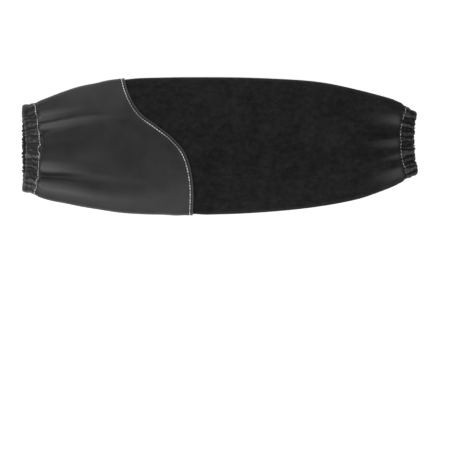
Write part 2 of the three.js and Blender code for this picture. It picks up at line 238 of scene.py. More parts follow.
WRIST_FOLDS = table(
    Fold,
    (0.265, 0, 6.0, 2.4, 0.05),
    (0.42, 0, 4.6, -3.2, 0.07, 0.055),
    (0.505, 0, 6.5, 1.8, 0.06),
    (0.6, 0, 4.0, -2.8, 0.06, 0.065),
    (0.65, 0, 4.4, 1.6, 0.045),
    (0.735, 0, 4.6, -1.5, 0.045),
    (0.83, 0, 7.5, 2.4, 0.055),
    (1.3, 0.02, 7.4, -2.2, 0.09),
    (1.5, 0, 7.4, -2.2, 0.08),
    (1.72, -0.02, 7.4, -2.2, 0.09),
)
SWELLS = table(Swell, (1.0, 23, 5, 1), (1.0, 37, -7, 2.2), (0.6, 13, 11, 0.4))


@dataclass(frozen=True)
class Gathers:
    """Uneven gathers round a cuff: round ridges with sharp valleys between them.

    count is how many there are in the whole turn, uneven how far their widths differ, smallest the lowest ridge
    as a share of the highest, and roundness how slowly a ridge rises out of its valley.
    """

    count: int
    seed: int
    uneven: float = 0.42
    smallest: float = 0.5
    roundness: float = 0.8

    def ridge(self, around: np.ndarray) -> np.ndarray:
        """Finds how high places lie on their ridges.

        Args:
            around: half turns round the sleeve.

        Returns:
            A height for each place, from 0 in a valley to 1 on the highest crest.
        """
        draws = np.random.default_rng(self.seed)
        widths = 1 + self.uneven * draws.uniform(-1, 1, self.count)
        bounds = np.concatenate([[0.0], np.cumsum(widths)]) * 2 / widths.sum()
        heights = draws.uniform(self.smallest, 1, self.count)
        turns = np.mod(around, 2.0)
        i = np.clip(np.searchsorted(bounds, turns, side="right") - 1, 0, self.count - 1)
        share = (turns - bounds[i]) / (bounds[i + 1] - bounds[i])
        return heights[i] * np.sin(math.pi * np.clip(share, 0, 1)) ** self.roundness


@dataclass(frozen=True)
class End:
    """An end of the sleeve with its cuff.

    Attributes:
        side: -1 at the upper arm and 1 at the wrist.
        width: the cuff's width at its stitches.
        mouth: its width at the rim.
        height: its height as it lies.
        casing_width: the casing from its rim to its stitches, in the middle of its faces.
        casing_width_at_sides: the same at the side folds.
        setback: how far the rim stands back from the sleeve's full length.
        wall: the thickness of its leather.
        stack: how far the gathers' crests stand above the middle surface.
        to_widest: how far it is from the end of the full length to the widest section.
        taper: how the sleeve widens from the cuff.
        folds: the folds that run out of the cuff.
        gathers: the casing's main gathers.
        fine_gathers: the small ones on top of them.
        pucker: the height of the gathers where they run out into the panel.
        pucker_reach: how far they run out.
        flank: how far the stitched ring bulges at the side folds.
        flank_run: how far this bulge runs into the panel.
        stitch_stray: how far the gathers push the stitches to and fro.
        stitch_draw: how far the stitches stand back from their even line in the middle of each face.
        stitch_squareness: how round that line turns at the +Y fold and at the -Y fold.
        rim_squareness: how quickly the rim turns from the side folds.
        rim_slant: how much further back the rim stands at the +Y fold than midway, and less at the -Y fold.
        side_crests: how full the gathers are at the side folds, by the stitches and at the rim.
        crest_slant: how much fuller they are at the rim at the +Y fold than midway.
    """

    side: int
    width: float
    mouth: float
    height: float
    casing_width: float
    casing_width_at_sides: float
    setback: Setback
    wall: float
    stack: float
    to_widest: float
    taper: tuple[TaperRow, ...]
    folds: tuple[Fold, ...]
    gathers: Gathers
    fine_gathers: Gathers
    pucker: float
    pucker_reach: float
    flank: float
    flank_run: float
    stitch_stray: float
    stitch_draw: float
    stitch_squareness: tuple[float, float]
    rim_squareness: float
    rim_slant: float
    side_crests: tuple[float, float]
    crest_slant: float

    def top_ring(self, form: "SleeveForm") -> float:
        """Returns the casing's edge on the top, from the end of the sleeve's full length."""
        return self.setback.top + self.casing_width + form.stitch_margin

    def share(self, distance: Values, ring: float) -> Values:
        """Returns a distance as a share of the way from a ring to the widest section."""
        return (distance - ring) / (self.to_widest - ring)

    def taper_at(self, column: str, distance: np.ndarray, ring: float) -> np.ndarray:
        """Returns a column of the taper at distances from the end, where the taper begins at a ring."""
        return read_table(self.taper, "along", column, self.share(distance, ring))


@dataclass(frozen=True)
class Section:
    """The sizes of the middle surface's cross-sections: one value of each for every place that is asked for.

    Attributes:
        centre: where the middle lies across the sleeve.
        half: half the width.
        fold: the radius of the side folds on the upper side.
        low: the height of the underside.
        side: the height of the side folds.
        high: the height of the top.
    """

    centre: np.ndarray
    half: np.ndarray
    fold: np.ndarray
    low: np.ndarray
    side: np.ndarray
    high: np.ndarray


@dataclass(frozen=True)
class Outline:
    """Places on the cross-sections, with the outward normal across the sleeve and the half outline's length."""

    y: np.ndarray
    z: np.ndarray
    normal_y: np.ndarray
    normal_z: np.ndarray
    length: np.ndarray


@dataclass
class SleeveForm:
    """The middle surface of the sleeve's leather as it lies, which every piece is made round."""

    length: float = 457.0
    width: float = 159.0
    height: float = 37.0
    smooth_wall: float = 1.2
    suede_wall: float = 1.4
    pocket_half_depth: float = 1.2
    gather_height: float = 2.2
    inner_gather_height: float = 1.1
    side_ring: float = 15.4  # where the panels begin to widen at the side folds, from either end
    stitch_margin: float = 1.6
    widest_at: float = 0.392
    side_level: float = 11.0
    body_fold_radius: float = 8.0
    cuff_fold_radius: float = 7.5
    tightest_arc: float = 0.9
    belly_lands_at: float = 0.3
    underside_lead: float = 0.25  # how the seam's deeper dip begins at the side folds
    underside_begins: float = 3.5
    seam_gap: float = 0.2
    seam_hem: float = 1.5
    seam_lap: float = 8.0
    seam_dip: float = 0.8
    thread_room: float = 0.4  # how far the lap stays off the table, for its stitches
    seam_ramp: float = 18.0
    seam_settle: float = 16.0
    fold_lead_in: float = 0.012
    fold_height: float = 2.6  # a usual fold's, that the painted light and shade on the folds are measured by
    crease_limit: float = 1.5
    gather_level: float = 0.5  # the gathers' middle height, and the fine ones'
    fine_level: float = 0.4
    fine_pucker: float = 0.35  # how much the fine gathers add to the puckers
    pucker_lead_in: float = 4.0
    flank_sharpness: float = 8.0
    flank_run: float = 4.0  # how far the bulge runs into the casing
    contact: float = 0.3  # how softly the leather flattens on the table
    sag: float = 0.55  # the height of the slow, shallow swells over the top
    swell_squareness: float = 1.5
    swell_fade: float = 90.0
    closing_seam_at: float = 1.36
    closing_groove: float = 0.7
    closing_groove_width: float = 1.3
    stray_gathers: Gathers = Gathers(count=17, seed=3, smallest=0.2)
    upper: End = field(init=False)
    wrist: End = field(init=False)

    def __post_init__(self) -> None:
        """Sets up the two ends from the sleeve's own sizes."""
        self.upper = End(
            side=-1,
            width=108.0,
            mouth=97.5,
            height=31.0,
            casing_width=14.1,
            casing_width_at_sides=13.05,
            setback=Setback(side=1.95, top=6.6, bottom=-0.4),
            wall=self.smooth_wall,
            stack=self.pocket_half_depth + self.smooth_wall + self.gather_height,
            to_widest=self.length * self.widest_at,
            taper=UPPER_TAPER,
            folds=UPPER_FOLDS,
            gathers=Gathers(count=38, seed=11, roundness=0.6, smallest=0.65),
            fine_gathers=Gathers(count=57, seed=23, smallest=0.1),
            pucker=0.8,
            pucker_reach=9.0,
            flank=2.0,
            flank_run=3.0,
            stitch_stray=2.2,
            stitch_draw=1.8,
            stitch_squareness=(0.65, 1.2),
            rim_squareness=0.9,
            rim_slant=0.95,
            side_crests=(-0.3, 1.25),
            crest_slant=0.3,
        )
        self.wrist = End(
            side=1,
            width=90.0,
            mouth=71.5,
            height=29.0,
            casing_width=14.2,
            casing_width_at_sides=10.1,
            setback=Setback(side=1.0, top=5.0, bottom=1.5),
            wall=self.suede_wall,
            stack=self.pocket_half_depth + self.suede_wall + self.gather_height,
            to_widest=self.length * (1 - self.widest_at),
            taper=WRIST_TAPER,
            folds=WRIST_FOLDS,
            gathers=Gathers(count=27, seed=5, roundness=0.6, smallest=0.65),
            fine_gathers=Gathers(count=41, seed=31, smallest=0.1),
            pucker=0.75,
            pucker_reach=10.0,
            flank=2.2,
            flank_run=12.0,
            stitch_stray=1.3,
            stitch_draw=1.1,
            stitch_squareness=(1.0, 1.0),
            rim_squareness=2.0,
            rim_slant=-0.4,
            side_crests=(-0.4, 0.9),
            crest_slant=-0.4,
        )

    @property
    def hem_bottom(self) -> float:
        """Returns the height of the lap's underside above the middle surface."""
        return self.suede_wall / 2 + self.seam_gap

    @property
    def hem_top(self) -> float:
        """Returns the height of the lap's upper side above the middle surface."""
        return self.hem_bottom + self.seam_hem

    def place_from(self, end: End, distance: Values) -> Values:
        """Returns X at a distance from an end of the sleeve's full length."""
        return end.side * (self.length / 2 - distance)

    def distance_from(self, end: End, x: Values) -> Values:
        """Returns how far X is from an end of the sleeve's full length."""
        return self.length / 2 - end.side * x

    def per_end(self, x: np.ndarray, read: Callable[[End, np.ndarray], np.ndarray]) -> np.ndarray:
        """Reads places along the sleeve from the end whose taper they belong to.

        Args:
            x: places along the sleeve.
            read: a function of an end and of the distances from it.

        Returns:
            What read gives for each place.
        """
        from_upper, from_wrist = (self.distance_from(end, x) for end in (self.upper, self.wrist))
        near_upper = from_upper < self.upper.to_widest
        return np.where(near_upper, read(self.upper, from_upper), read(self.wrist, from_wrist))

    def cuff_half(self, end: End, distance: np.ndarray) -> np.ndarray:
        """Returns half a cuff's width at distances from its end."""
        width = mix(end.mouth, end.width, np.clip(distance / self.side_ring, None, 1))
        return width / 2 - end.stack

    def underside(self, end: End, distance: np.ndarray) -> np.ndarray:
        """Returns the underside's height at distances from an end, where it comes down onto the table."""
        landed = ease(end.share(distance, end.top_ring(self)) / self.belly_lands_at)
        return mix(end.stack, self.suede_wall / 2, landed)

    def section(self, x: np.ndarray) -> Section:
        """Works out the middle surface's cross-sections.

        Args:
            x: places along the sleeve.

        Returns:
            The sizes of the section at each place.
        """
        wide = self.per_end(x, lambda end, d: end.taper_at("full", d, self.side_ring))
        sway = self.per_end(x, lambda end, d: end.taper_at("sway", d, self.side_ring))
        tall = self.per_end(x, lambda end, d: end.taper_at("full", d, end.top_ring(self)))
        cuff_side = self.per_end(x, lambda end, d: np.full_like(d, end.height / 2))
        cuff_high = self.per_end(x, lambda end, d: np.full_like(d, end.height - end.stack))
        return Section(
            centre=self.width * sway,
            half=mix(self.per_end(x, self.cuff_half), (self.width - self.suede_wall) / 2, wide),
            fold=mix(self.cuff_fold_radius, self.body_fold_radius, tall),
            low=self.per_end(x, self.underside),
            side=mix(cuff_side, self.side_level, tall),
            high=mix(cuff_high, self.height - self.suede_wall / 2, tall),
        )

    def outline(self, x: np.ndarray, around: np.ndarray) -> Outline:
        """Finds places on the cross-sections.

        Over the top a section is two tight arcs at the folds under one wide arc. Underneath, two quarter ovals
        run into the flat belly.

        Args:
            x: places along the sleeve.
            around: half turns round it.

        Returns:
            The places, their normals and the length of the half outline that each is on.
        """
        section = self.section(x)
        turns = np.mod(around, 2.0)
        over = turns < 1
        rise = section.high - section.side
        fold = np.minimum(section.fold, self.tightest_arc * rise)
        wide = (section.half**2 + rise**2 - 2 * section.half * fold) / (2 * (rise - fold))
        meet = np.arctan2(wide - rise, section.half - fold)
        drop = section.side - section.low
        curl = drop**2 / section.fold
        oval = ((curl - drop) / (curl + drop)) ** 2
        curve = math.pi / 4 * (curl + drop) * (1 + 3 * oval / (10 + np.sqrt(4 - 3 * oval)))
        quarter = np.where(over, fold * meet + wide * (math.pi / 2 - meet), curve + section.half - curl)
        run = (turns % 1.0) * 2 * quarter
        first = run <= quarter
        run = np.where(first, run, 2 * quarter - run)
        start = np.where(over, 1.0, -1.0) * np.where(first, 1.0, -1.0)

        tight = run < fold * meet
        angle = np.where(tight, run / fold, meet + (run - fold * meet) / wide)
        top_y = np.where(tight, section.half - fold + fold * np.cos(angle), wide * np.cos(angle))
        top_z = section.side + np.where(tight, fold * np.sin(angle), rise - wide + wide * np.sin(angle))

        lean = np.clip(run / curve, 0, 1) * math.pi / 2
        flat = run > curve
        low_y = section.half - curl + np.where(flat, curve - run, curl * np.cos(lean))
        low_z = section.side - drop * np.sin(lean)
        slope_y, slope_z = np.cos(lean) / curl, -np.sin(lean) / drop
        steep = np.hypot(slope_y, slope_z)

        return Outline(
            y=section.centre + start * np.where(over, top_y, low_y),
            z=np.where(over, top_z, low_z),
            normal_y=start * np.where(over, np.cos(angle), slope_y / steep),
            normal_z=np.where(over, np.sin(angle), slope_z / steep),
            length=2 * quarter,
        )

    def widest(self, around: np.ndarray) -> np.ndarray:
        """Returns X of the widest section, once for each place round it."""
        return np.full_like(around, self.place_from(self.upper, self.upper.to_widest))

    def girth(self) -> float:
        """Returns the length round the widest section."""
        faces = np.array([0.5, 1.5])  # the middle of the top and of the underside
        return float(self.outline(self.widest(faces), faces).length.sum())

    def rim_distance(self, end: End, around: np.ndarray) -> np.ndarray:
        """Finds an end's even rim.

        Args:
            end: the end.
            around: half turns round the sleeve.

        Returns:
            How far the rim stands back from the sleeve's full length.
        """
        over = np.sin(math.pi * around)
        far = np.where(over > 0, end.setback.top, end.setback.bottom)
        side = end.setback.side + end.rim_slant * np.cos(math.pi * around)
        return mix(side, far, np.abs(over) ** end.rim_squareness)

    def stitch_distance(self, end: End, around: np.ndarray) -> np.ndarray:
        """Finds a cuff's even line of stitches.

        Args:
            end: the cuff's end.
            around: half turns round the sleeve.

        Returns:
            How far the line lies from the end of the sleeve's full length.
        """
        over = np.sin(math.pi * around)
        squareness = mix(*end.stitch_squareness, 0.5 - 0.5 * np.cos(math.pi * around))
        far = np.where(over > 0, end.setback.top, end.setback.bottom) + end.casing_width
        return mix(end.setback.side + end.casing_width_at_sides, far, np.abs(over) ** squareness)

    def strayed_stitches(self, end: End, around: np.ndarray) -> np.ndarray:
        """Finds the line of stitches as the gathers push it to and fro, except at the side folds.

        Args:
            end: the cuff's end.
            around: half turns round the sleeve.

        Returns:
            How far the line lies from the end of the sleeve's full length.
        """
        open_face = np.sqrt(np.abs(np.sin(math.pi * around)))
        stray = end.stitch_stray * (self.stray_gathers.ridge(around) - self.gather_level) - end.stitch_draw
        return self.stitch_distance(end, around) - stray * open_face

    def seam_edge(self, around: np.ndarray) -> np.ndarray:
        """Finds the seam's folded edge from its curve over the width of the sleeve.

        Args:
            around: half turns round the sleeve.

        Returns:
            X of the edge.
        """
        centre = self.section(self.widest(np.zeros(1))).centre
        aside = self.outline(self.widest(around), around).y - centre
        across = 0.5 - aside / (self.width - self.suede_wall)
        return self.place_from(self.upper, self.length * read_table(SEAM_CURVE, "across", "along", across))

    def seam_place(self, around: np.ndarray) -> tuple[np.ndarray, np.ndarray]:
        """Finds the seam's folded edge and its slant.

        Args:
            around: half turns round the sleeve.

        Returns:
            X of the edge, and how much longer a step in X is than one square to the seam.
        """
        nudge = 0.01
        run = 2 * nudge * self.outline(self.widest(around), around).length
        slant = np.hypot(1, (self.seam_edge(around + nudge) - self.seam_edge(around - nudge)) / run)
        return self.seam_edge(around), slant

    def folds(self, x: np.ndarray, around: np.ndarray, length: np.ndarray) -> np.ndarray:
        """Works out the folds and puckers that run out of the cuffs.

        Args:
            x: places along the sleeve.
            around: half turns round it.
            length: the length of the half outline at each place.

        Returns:
            How far they push the middle surface outwards.
        """
        turns = np.mod(around, 2.0)
        offset = np.zeros(np.broadcast(x, around).shape)
        for end in (self.upper, self.wrist):
            distance = self.distance_from(end, x)
            beyond = distance - self.stitch_distance(end, turns) - self.stitch_margin
            mine = (distance < end.to_widest) & (beyond > 0)
            held = np.maximum(beyond, 0)
            total = np.zeros_like(offset)
            for fold in end.folds:
                reach = fold.reach * self.length
                middle = fold.around + fold.drift * np.minimum(held / reach, 1)
                away = (turns - middle) * length / fold.spread
                opening = ease(held / (self.fold_lead_in * self.length))
                beside = (held - fold.peak * self.length) / reach
                total += fold.depth * opening * np.exp(-beside * beside - away * away)
            offset += np.where(mine, total, 0)
            ridge = end.gathers.ridge(turns) - self.gather_level
            ridge += self.fine_pucker * (end.fine_gathers.ridge(turns) - self.fine_level)
            run_out = np.exp(-held / end.pucker_reach)
            offset += end.pucker * ridge * np.where(beyond > 0, run_out, ease(1 + beyond / self.pucker_lead_in))
        return offset

    def creased(self, x: np.ndarray, around: np.ndarray) -> np.ndarray:
        """Returns how far a place lies up a fold's ridge, about 1, or down in its valley, about -1."""
        offset = self.folds(x, around, self.outline(x, around).length)
        return np.clip(offset / self.fold_height, -self.crease_limit, self.crease_limit)

    def swells(self, x: np.ndarray, around: np.ndarray) -> np.ndarray:
        """Works out the slow, shallow swells over the top, which fade at the side folds and the cuffs.

        Args:
            x: places along the sleeve.
            around: half turns round it.

        Returns:
            How far they push the middle surface outwards.
        """
        over = np.maximum(np.sin(math.pi * around), 0) ** self.swell_squareness
        waves = sum(s.height * np.sin(x / s.along + s.turn * around + s.start) for s in SWELLS)
        middle = ease((self.length / 2 - np.abs(x)) / self.swell_fade)
        return self.sag * over * middle * waves / sum(s.height for s in SWELLS)

    def flanks(self, x: np.ndarray, around: np.ndarray) -> np.ndarray:
        """Works out the bulges of the stitched rings at the side folds, where nothing pulls them flat.

        Args:
            x: places along the sleeve.
            around: half turns round it.

        Returns:
            How far they push the middle surface outwards.
        """
        side = np.abs(np.cos(math.pi * around)) ** self.flank_sharpness
        offset = np.zeros(np.broadcast(x, around).shape)
        for end in (self.upper, self.wrist):
            beyond = self.distance_from(end, x) - self.stitch_distance(end, around)
            faded = np.where(beyond > 0, beyond / end.flank_run, -beyond / self.flank_run)
            offset += end.flank * side * (1 - ease(faded))
        return offset

    def dip(self, x: np.ndarray, around: np.ndarray) -> np.ndarray:
        """Works out the dips at the lapped seam and along the closing seam.

        Args:
            x: places along the sleeve.
            around: half turns round it.

        Returns:
            How far they draw the middle surface inwards.
        """
        edge, slant = self.seam_place(around)
        behind = (edge - x) / slant
        over = ease((self.seam_lap + self.seam_ramp - behind) / self.seam_ramp)
        settle = ease((behind + self.seam_settle) / self.seam_settle)
        under = ease(self.underside_lead - self.underside_begins * np.sin(math.pi * around))
        dip_below = self.hem_top - self.suede_wall / 2 + self.thread_room
        lap = over * settle * mix(self.seam_dip, dip_below, under)
        away = (np.mod(around, 2.0) - self.closing_seam_at) * self.width
        return lap + self.closing_groove * bump(away, self.closing_groove_width)

    def middle(self, x: np.ndarray, around: np.ndarray) -> np.ndarray:
        """Finds points on the leather's middle surface.

        Args:
            x: places along the sleeve.
            around: half turns round it.

        Returns:
            An array whose last axis is X, Y and Z.
        """
        at = self.outline(x, around)
        out = self.folds(x, around, at.length) + self.swells(x, around)
        out += self.flanks(x, around) - self.dip(x, around)
        across = at.y + at.normal_y * out
        up = at.z + at.normal_z * out
        return np.stack([np.broadcast_to(x, up.shape), across, up], axis=-1)

    def above(self, x: np.ndarray, around: np.ndarray, height: np.ndarray) -> np.ndarray:
        """Finds points above the middle surface, square to it, which stay off the table.

        Args:
            x: places along the sleeve.
            around: half turns round it.
            height: heights above the middle surface.

        Returns:
            An array whose last axis is X, Y and Z.
        """
        along_step, round_step = 0.4, 0.003
        along = self.middle(x + along_step, around) - self.middle(x - along_step, around)
        roundways = self.middle(x, around + round_step) - self.middle(x, around - round_step)
        normal = np.cross(roundways, along)
        normal /= np.linalg.norm(normal, axis=-1, keepdims=True)
        points = self.middle(x, around) + normal * height[..., None]
        low = points[..., 2] < self.contact
        points[low, 2] = self.contact * np.exp(points[low, 2] / self.contact - 1)
        return points


# --------------------------------------------------------------------------------------------------------------
# Leather and elastic


def places_round(count: int, dense: float) -> np.ndarray:
    """Returns count + 1 places round the sleeve from 0 to 2, closer together at the side folds."""
    even = np.linspace(0, 2, count + 1)
    return even - dense * np.sin(2 * math.pi * even) / (2 * math.pi)


def finish_piece(
    mesh: bmesh.types.BMesh, name: str, material: bpy.types.Material
) -> bpy.types.Object:
    """Makes an object of a finished bmesh, dresses it and lets it ride on the body.

    Args:
        mesh: the finished mesh, which is freed.
        name: the piece's name.
        material: its finish.

    Returns:
        The new object.
    """
    data = bpy.data.meshes.new(name)
    for face in mesh.faces:
        face.smooth = True
    mesh.to_mesh(data)
    mesh.free()
    data.materials.append(material)
    piece = bpy.data.objects.new(name, data)
    bpy.context.scene.collection.objects.link(piece)
    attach(piece, BODY)
    LOG.info("%s: %d faces", name, len(data.polygons))
    return piece


def wall_mesh(points: np.ndarray, painted_light: np.ndarray) -> bmesh.types.BMesh:
    """Makes a closed wall: a grid rolled up both ways, whose meeting edges are joined.

    Args:
        points: a row for each loop along the wall and a column for each place round it. The last row is the
            first one again, and so is the last column.
        painted_light: the painted highlight at each point, or painted shade below 0.

    Returns:
        The wall.
    """
    loops, columns = points.shape[0] - 1, points.shape[1] - 1
    grid = bmesh.new()
    bmesh.ops.create_grid(grid, x_segments=columns, y_segments=loops, size=0.5)
    # Painted light at each point: painted highlight above 0, painted shade below 0.
    painted_light_layer = grid.verts.layers.float.new("painted_light")
    rim = []
    for vert in grid.verts:
        column = round((vert.co.x + 0.5) * columns)
        loop = round((vert.co.y + 0.5) * loops)
        if column in (0, columns) or loop in (0, loops):
            rim.append(vert)
        vert.co = Vector(points[loop, column]) * METRES
        vert[painted_light_layer] = float(painted_light[loop, column])
    bmesh.ops.remove_doubles(grid, verts=rim, dist=SAME_PLACE)
    bmesh.ops.recalc_face_normals(grid, faces=grid.faces)
    if grid.calc_volume(signed=True) < 0:
        bmesh.ops.reverse_faces(grid, faces=grid.faces)
    return grid


@dataclass(frozen=True)
class Loop:
    """A loop of a wall round the sleeve.

    x and height place it along the sleeve and above the middle surface. painted_light is how much painted
    highlight it gets, or painted shade below 0, and outer whether it is one of the wall's outer face.
    """

    x: np.ndarray
    height: Values
    painted_light: Values = 0.0
    outer: bool = False


@dataclass(kw_only=True)
class SweptPiece(ABC):
    """A piece of the sleeve: a closed wall swept round it, which stands for a solid.

    Attributes:
        form: the sleeve's form.
        name: the piece's name.
        node: the solid that it stands for.
        slot: the record's slot of its finish; not used.
        columns: how many places a loop has round the sleeve.
        dense_at_sides: how much closer these lie at the side folds.
    """

    form: SleeveForm
    name: str
    node: str
    slot: Slot
    columns: int
    dense_at_sides: float = 0.3

    @abstractmethod
    def loops(self, around: np.ndarray) -> list[Loop]:
        """Lays out the wall.

        Args:
            around: the places round the sleeve.

        Returns:
            The wall's loops in order, each once.
        """

    def declare(self, piece: bpy.types.Object, outer: np.ndarray) -> None:
        """Its outer face's points come loop by loop."""

    def build(self, material: bpy.types.Material) -> bpy.types.Object:
        """Makes the piece.

        Args:
            material: its finish.

        Returns:
            The finished piece.
        """
        around = places_round(self.columns, self.dense_at_sides)
        loops = self.loops(around)
        closed = [*loops, loops[0]]
        x = np.stack([loop.x for loop in closed])
        height, painted_light = np.empty_like(x), np.empty_like(x)
        for row, loop in enumerate(closed):
            height[row], painted_light[row] = loop.height, loop.painted_light
        points = self.form.above(x, np.broadcast_to(around, x.shape), height)
        piece = finish_piece(wall_mesh(points, painted_light), self.name, material)
        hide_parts(self.node)
        self.declare(piece, points[: sum(loop.outer for loop in loops)])
        return piece


@dataclass(kw_only=True)
class LeatherPanel(SweptPiece):
    """One of the two panels of the tube.

    Attributes:
        outer_loops: how finely its outer face is cut along the sleeve.
        inner_loops: how finely its inner face is.
        crowding: how much closer these loops lie towards its cuff.
        tuck: how far it runs into the cuff past the stitches.
        ridge_shade: how much painted highlight a fold's ridge gets.
        valley_shade: how much painted shade its valley gets.
    """

    columns: int = 320
    dense_at_sides: float = 0.45
    outer_loops: int
    inner_loops: int
    crowding: float
    tuck: float = 1.0
    ridge_shade: float
    valley_shade: float

    def outer_loop(self, x: np.ndarray, around: np.ndarray, height: float, painted_highlight: float = 0.0) -> Loop:
        """Makes a loop of the outer face, with painted highlight and painted shade from the folds that it
        crosses.

        Args:
            x: its places along the sleeve.
            around: the places round it.
            height: its height above the middle surface.
            painted_highlight: how much painted highlight it gets all round, or painted shade below 0.

        Returns:
            The loop.
        """
        creased = self.form.creased(x, around)
        # Painted highlight on the folds' ridges, painted shade in their valleys.
        shade = np.where(creased > 0, self.ridge_shade, self.valley_shade)
        return Loop(x, height, np.clip(painted_highlight + creased * shade, -1, 1), outer=True)

    def declare(self, piece: bpy.types.Object, outer: np.ndarray) -> None:
        """Args:
            piece: the panel; not used.
            outer: the points of its outer face, loop by loop.
        """
        along, roundways = np.diff(outer, axis=0), np.diff(outer, axis=1)
        length = float(np.linalg.norm(along, axis=-1).sum(axis=0).max())
        flat = (self.form.girth() * METRES, length * METRES)


@dataclass(kw_only=True)
class SmoothPanel(LeatherPanel):
    """The smooth leather from inside the upper cuff to the folded edge of the S-shaped seam.

    Attributes:
        lap_run: how far behind the folded edge the leather starts to climb over the suede.
        lap_loops: how finely the lap's outer face is cut.
        lap_inner_loops: how finely its inner face is.
        nose_loops: how finely the folded edge is rounded.
        hem_ease: how soon the hem reaches its full thickness.
        stitch_inset: how far the stitches lie behind the folded edge.
        stitch_sink: how deep they draw the leather down.
        stitch_sink_width: how wide that groove is.
        edge_draw: how far the sewing draws the folded edge back.
        edge_highlight: how much painted highlight the folded edge gets.
        edge_shade: how much painted shade it gets underneath, as a share of that.
        edge_highlight_run: how far back from the edge the painted highlight runs, and how softly it ends.
        groove_shade: how dark the painted shade is in the crease behind the folded edge.
        groove_shade: how dark the crease behind the rubbed edge is.
        groove_shade_at: where that crease lies.
        groove_shade_width: how wide it is.
    """

    name: str = "smooth_leather_sleeve"
    node: str = "smooth_leather_panel"
    slot: Slot = Slot.SMOOTH
    outer_loops: int = 84
    inner_loops: int = 60
    crowding: float = 1.35
    ridge_shade: float = 0.7
    valley_shade: float = 0.42
    lap_run: float = 38.0
    lap_loops: int = 34
    lap_inner_loops: int = 16
    nose_loops: int = 8
    hem_ease: float = 3.0
    stitch_inset: float = 3.6
    stitch_sink: float = 0.55
    stitch_sink_width: float = 1.1
    edge_draw: float = 0.6
    edge_highlight: float = 0.6
    edge_shade: float = 0.5
    edge_highlight_run: tuple[float, float] = (1.8, 0.8)
    groove_shade: float = 0.8
    groove_shade_at: float = 2.5
    groove_shade_width: float = 0.8

    def lap_height(self, behind: float) -> float:
        """Finds the leather's outer face by the seam.

        Args:
            behind: how far behind the folded edge.

        Returns:
            The face's height above the middle surface.
        """
        form = self.form
        single = form.hem_bottom + form.smooth_wall
        climb = mix(form.smooth_wall / 2, single, ease((self.lap_run - behind) / (self.lap_run - form.seam_lap)))
        hem = mix(0.0, form.hem_top - single, ease((form.seam_lap - behind) / self.hem_ease))
        sink = self.stitch_sink * bump(behind - self.stitch_inset, self.stitch_sink_width)
        return float(climb + hem - sink)

    def lap_painted_light(self, behind: float) -> float:
        """Returns the lap's painted light: a painted highlight at its edge and a painted shade in the crease
        behind it.
        """
        reach, softness = self.edge_highlight_run
        crease = bump(behind - self.groove_shade_at, self.groove_shade_width)
        return float(self.edge_highlight * ease((reach - behind) / softness) - self.groove_shade * crease)

    def loops(self, around: np.ndarray) -> list[Loop]:
        """Lays out the wall: along its outer face, over the lap, round the folded edge and back inside.

        Args:
            around: the places round the sleeve.

        Returns:
            The wall's loops in order, each once.
        """
        form = self.form
        start = form.place_from(form.upper, form.stitch_distance(form.upper, around) - self.tuck)
        edge, slant = form.seam_place(around)
        edge -= self.edge_draw * slant
        lap_start = edge - self.lap_run * slant
        radius, half = form.seam_hem / 2, form.smooth_wall / 2

        loops = []
        for share in np.linspace(0, 1, self.outer_loops, endpoint=False) ** self.crowding:
            loops.append(self.outer_loop(mix(start, lap_start, share), around, half))
        for behind in np.linspace(self.lap_run, radius, self.lap_loops, endpoint=False):
            x = edge - behind * slant
            loops.append(self.outer_loop(x, around, self.lap_height(behind), self.lap_painted_light(behind)))
        for angle in np.linspace(math.pi / 2, -math.pi / 2, self.nose_loops):
            x = edge - radius * (1 - math.cos(angle)) * slant
            height = form.hem_bottom + radius * (1 + math.sin(angle))
            # Painted highlight on the top of the folded edge, painted shade under it.
            painted_highlight = self.edge_highlight * max(math.sin(angle), -self.edge_shade)
            loops.append(self.outer_loop(x, around, height, painted_highlight))
        for behind in np.linspace(radius, self.lap_run, self.lap_inner_loops)[1:]:
            single = behind > form.seam_lap
            height = self.lap_height(behind) - form.smooth_wall if single else form.hem_bottom
            loops.append(Loop(edge - behind * slant, height))
        for share in np.linspace(1, 0, self.inner_loops) ** self.crowding:
            loops.append(Loop(mix(start, lap_start, share), -half))
        return loops


@dataclass(kw_only=True)
class SuedePanel(LeatherPanel):
    """The split suede from under the lapped seam to inside the wrist cuff."""

    name: str = "suede_sleeve"
    node: str = "suede_panel"
    slot: Slot = Slot.SUEDE
    outer_loops: int = 150
    inner_loops: int = 90
    crowding: float = 1.25
    ridge_shade: float = 1.0
    valley_shade: float = 0.3

    def loops(self, around: np.ndarray) -> list[Loop]:
        """Lays out the wall: along its outer face to the wrist and back inside.

        Args:
            around: the places round the sleeve.

        Returns:
            The wall's loops in order, each once.
        """
        form = self.form
        end = form.place_from(form.wrist, form.stitch_distance(form.wrist, around) - self.tuck)
        edge, slant = form.seam_place(around)
        start = edge - form.seam_lap * slant
        half = form.suede_wall / 2
        outer = 1 - np.linspace(1, 0, self.outer_loops) ** self.crowding
        inner = 1 - np.linspace(0, 1, self.inner_loops) ** self.crowding
        loops = [self.outer_loop(mix(start, end, share), around, half) for share in outer]
        return loops + [Loop(mix(start, end, share), -half) for share in inner]


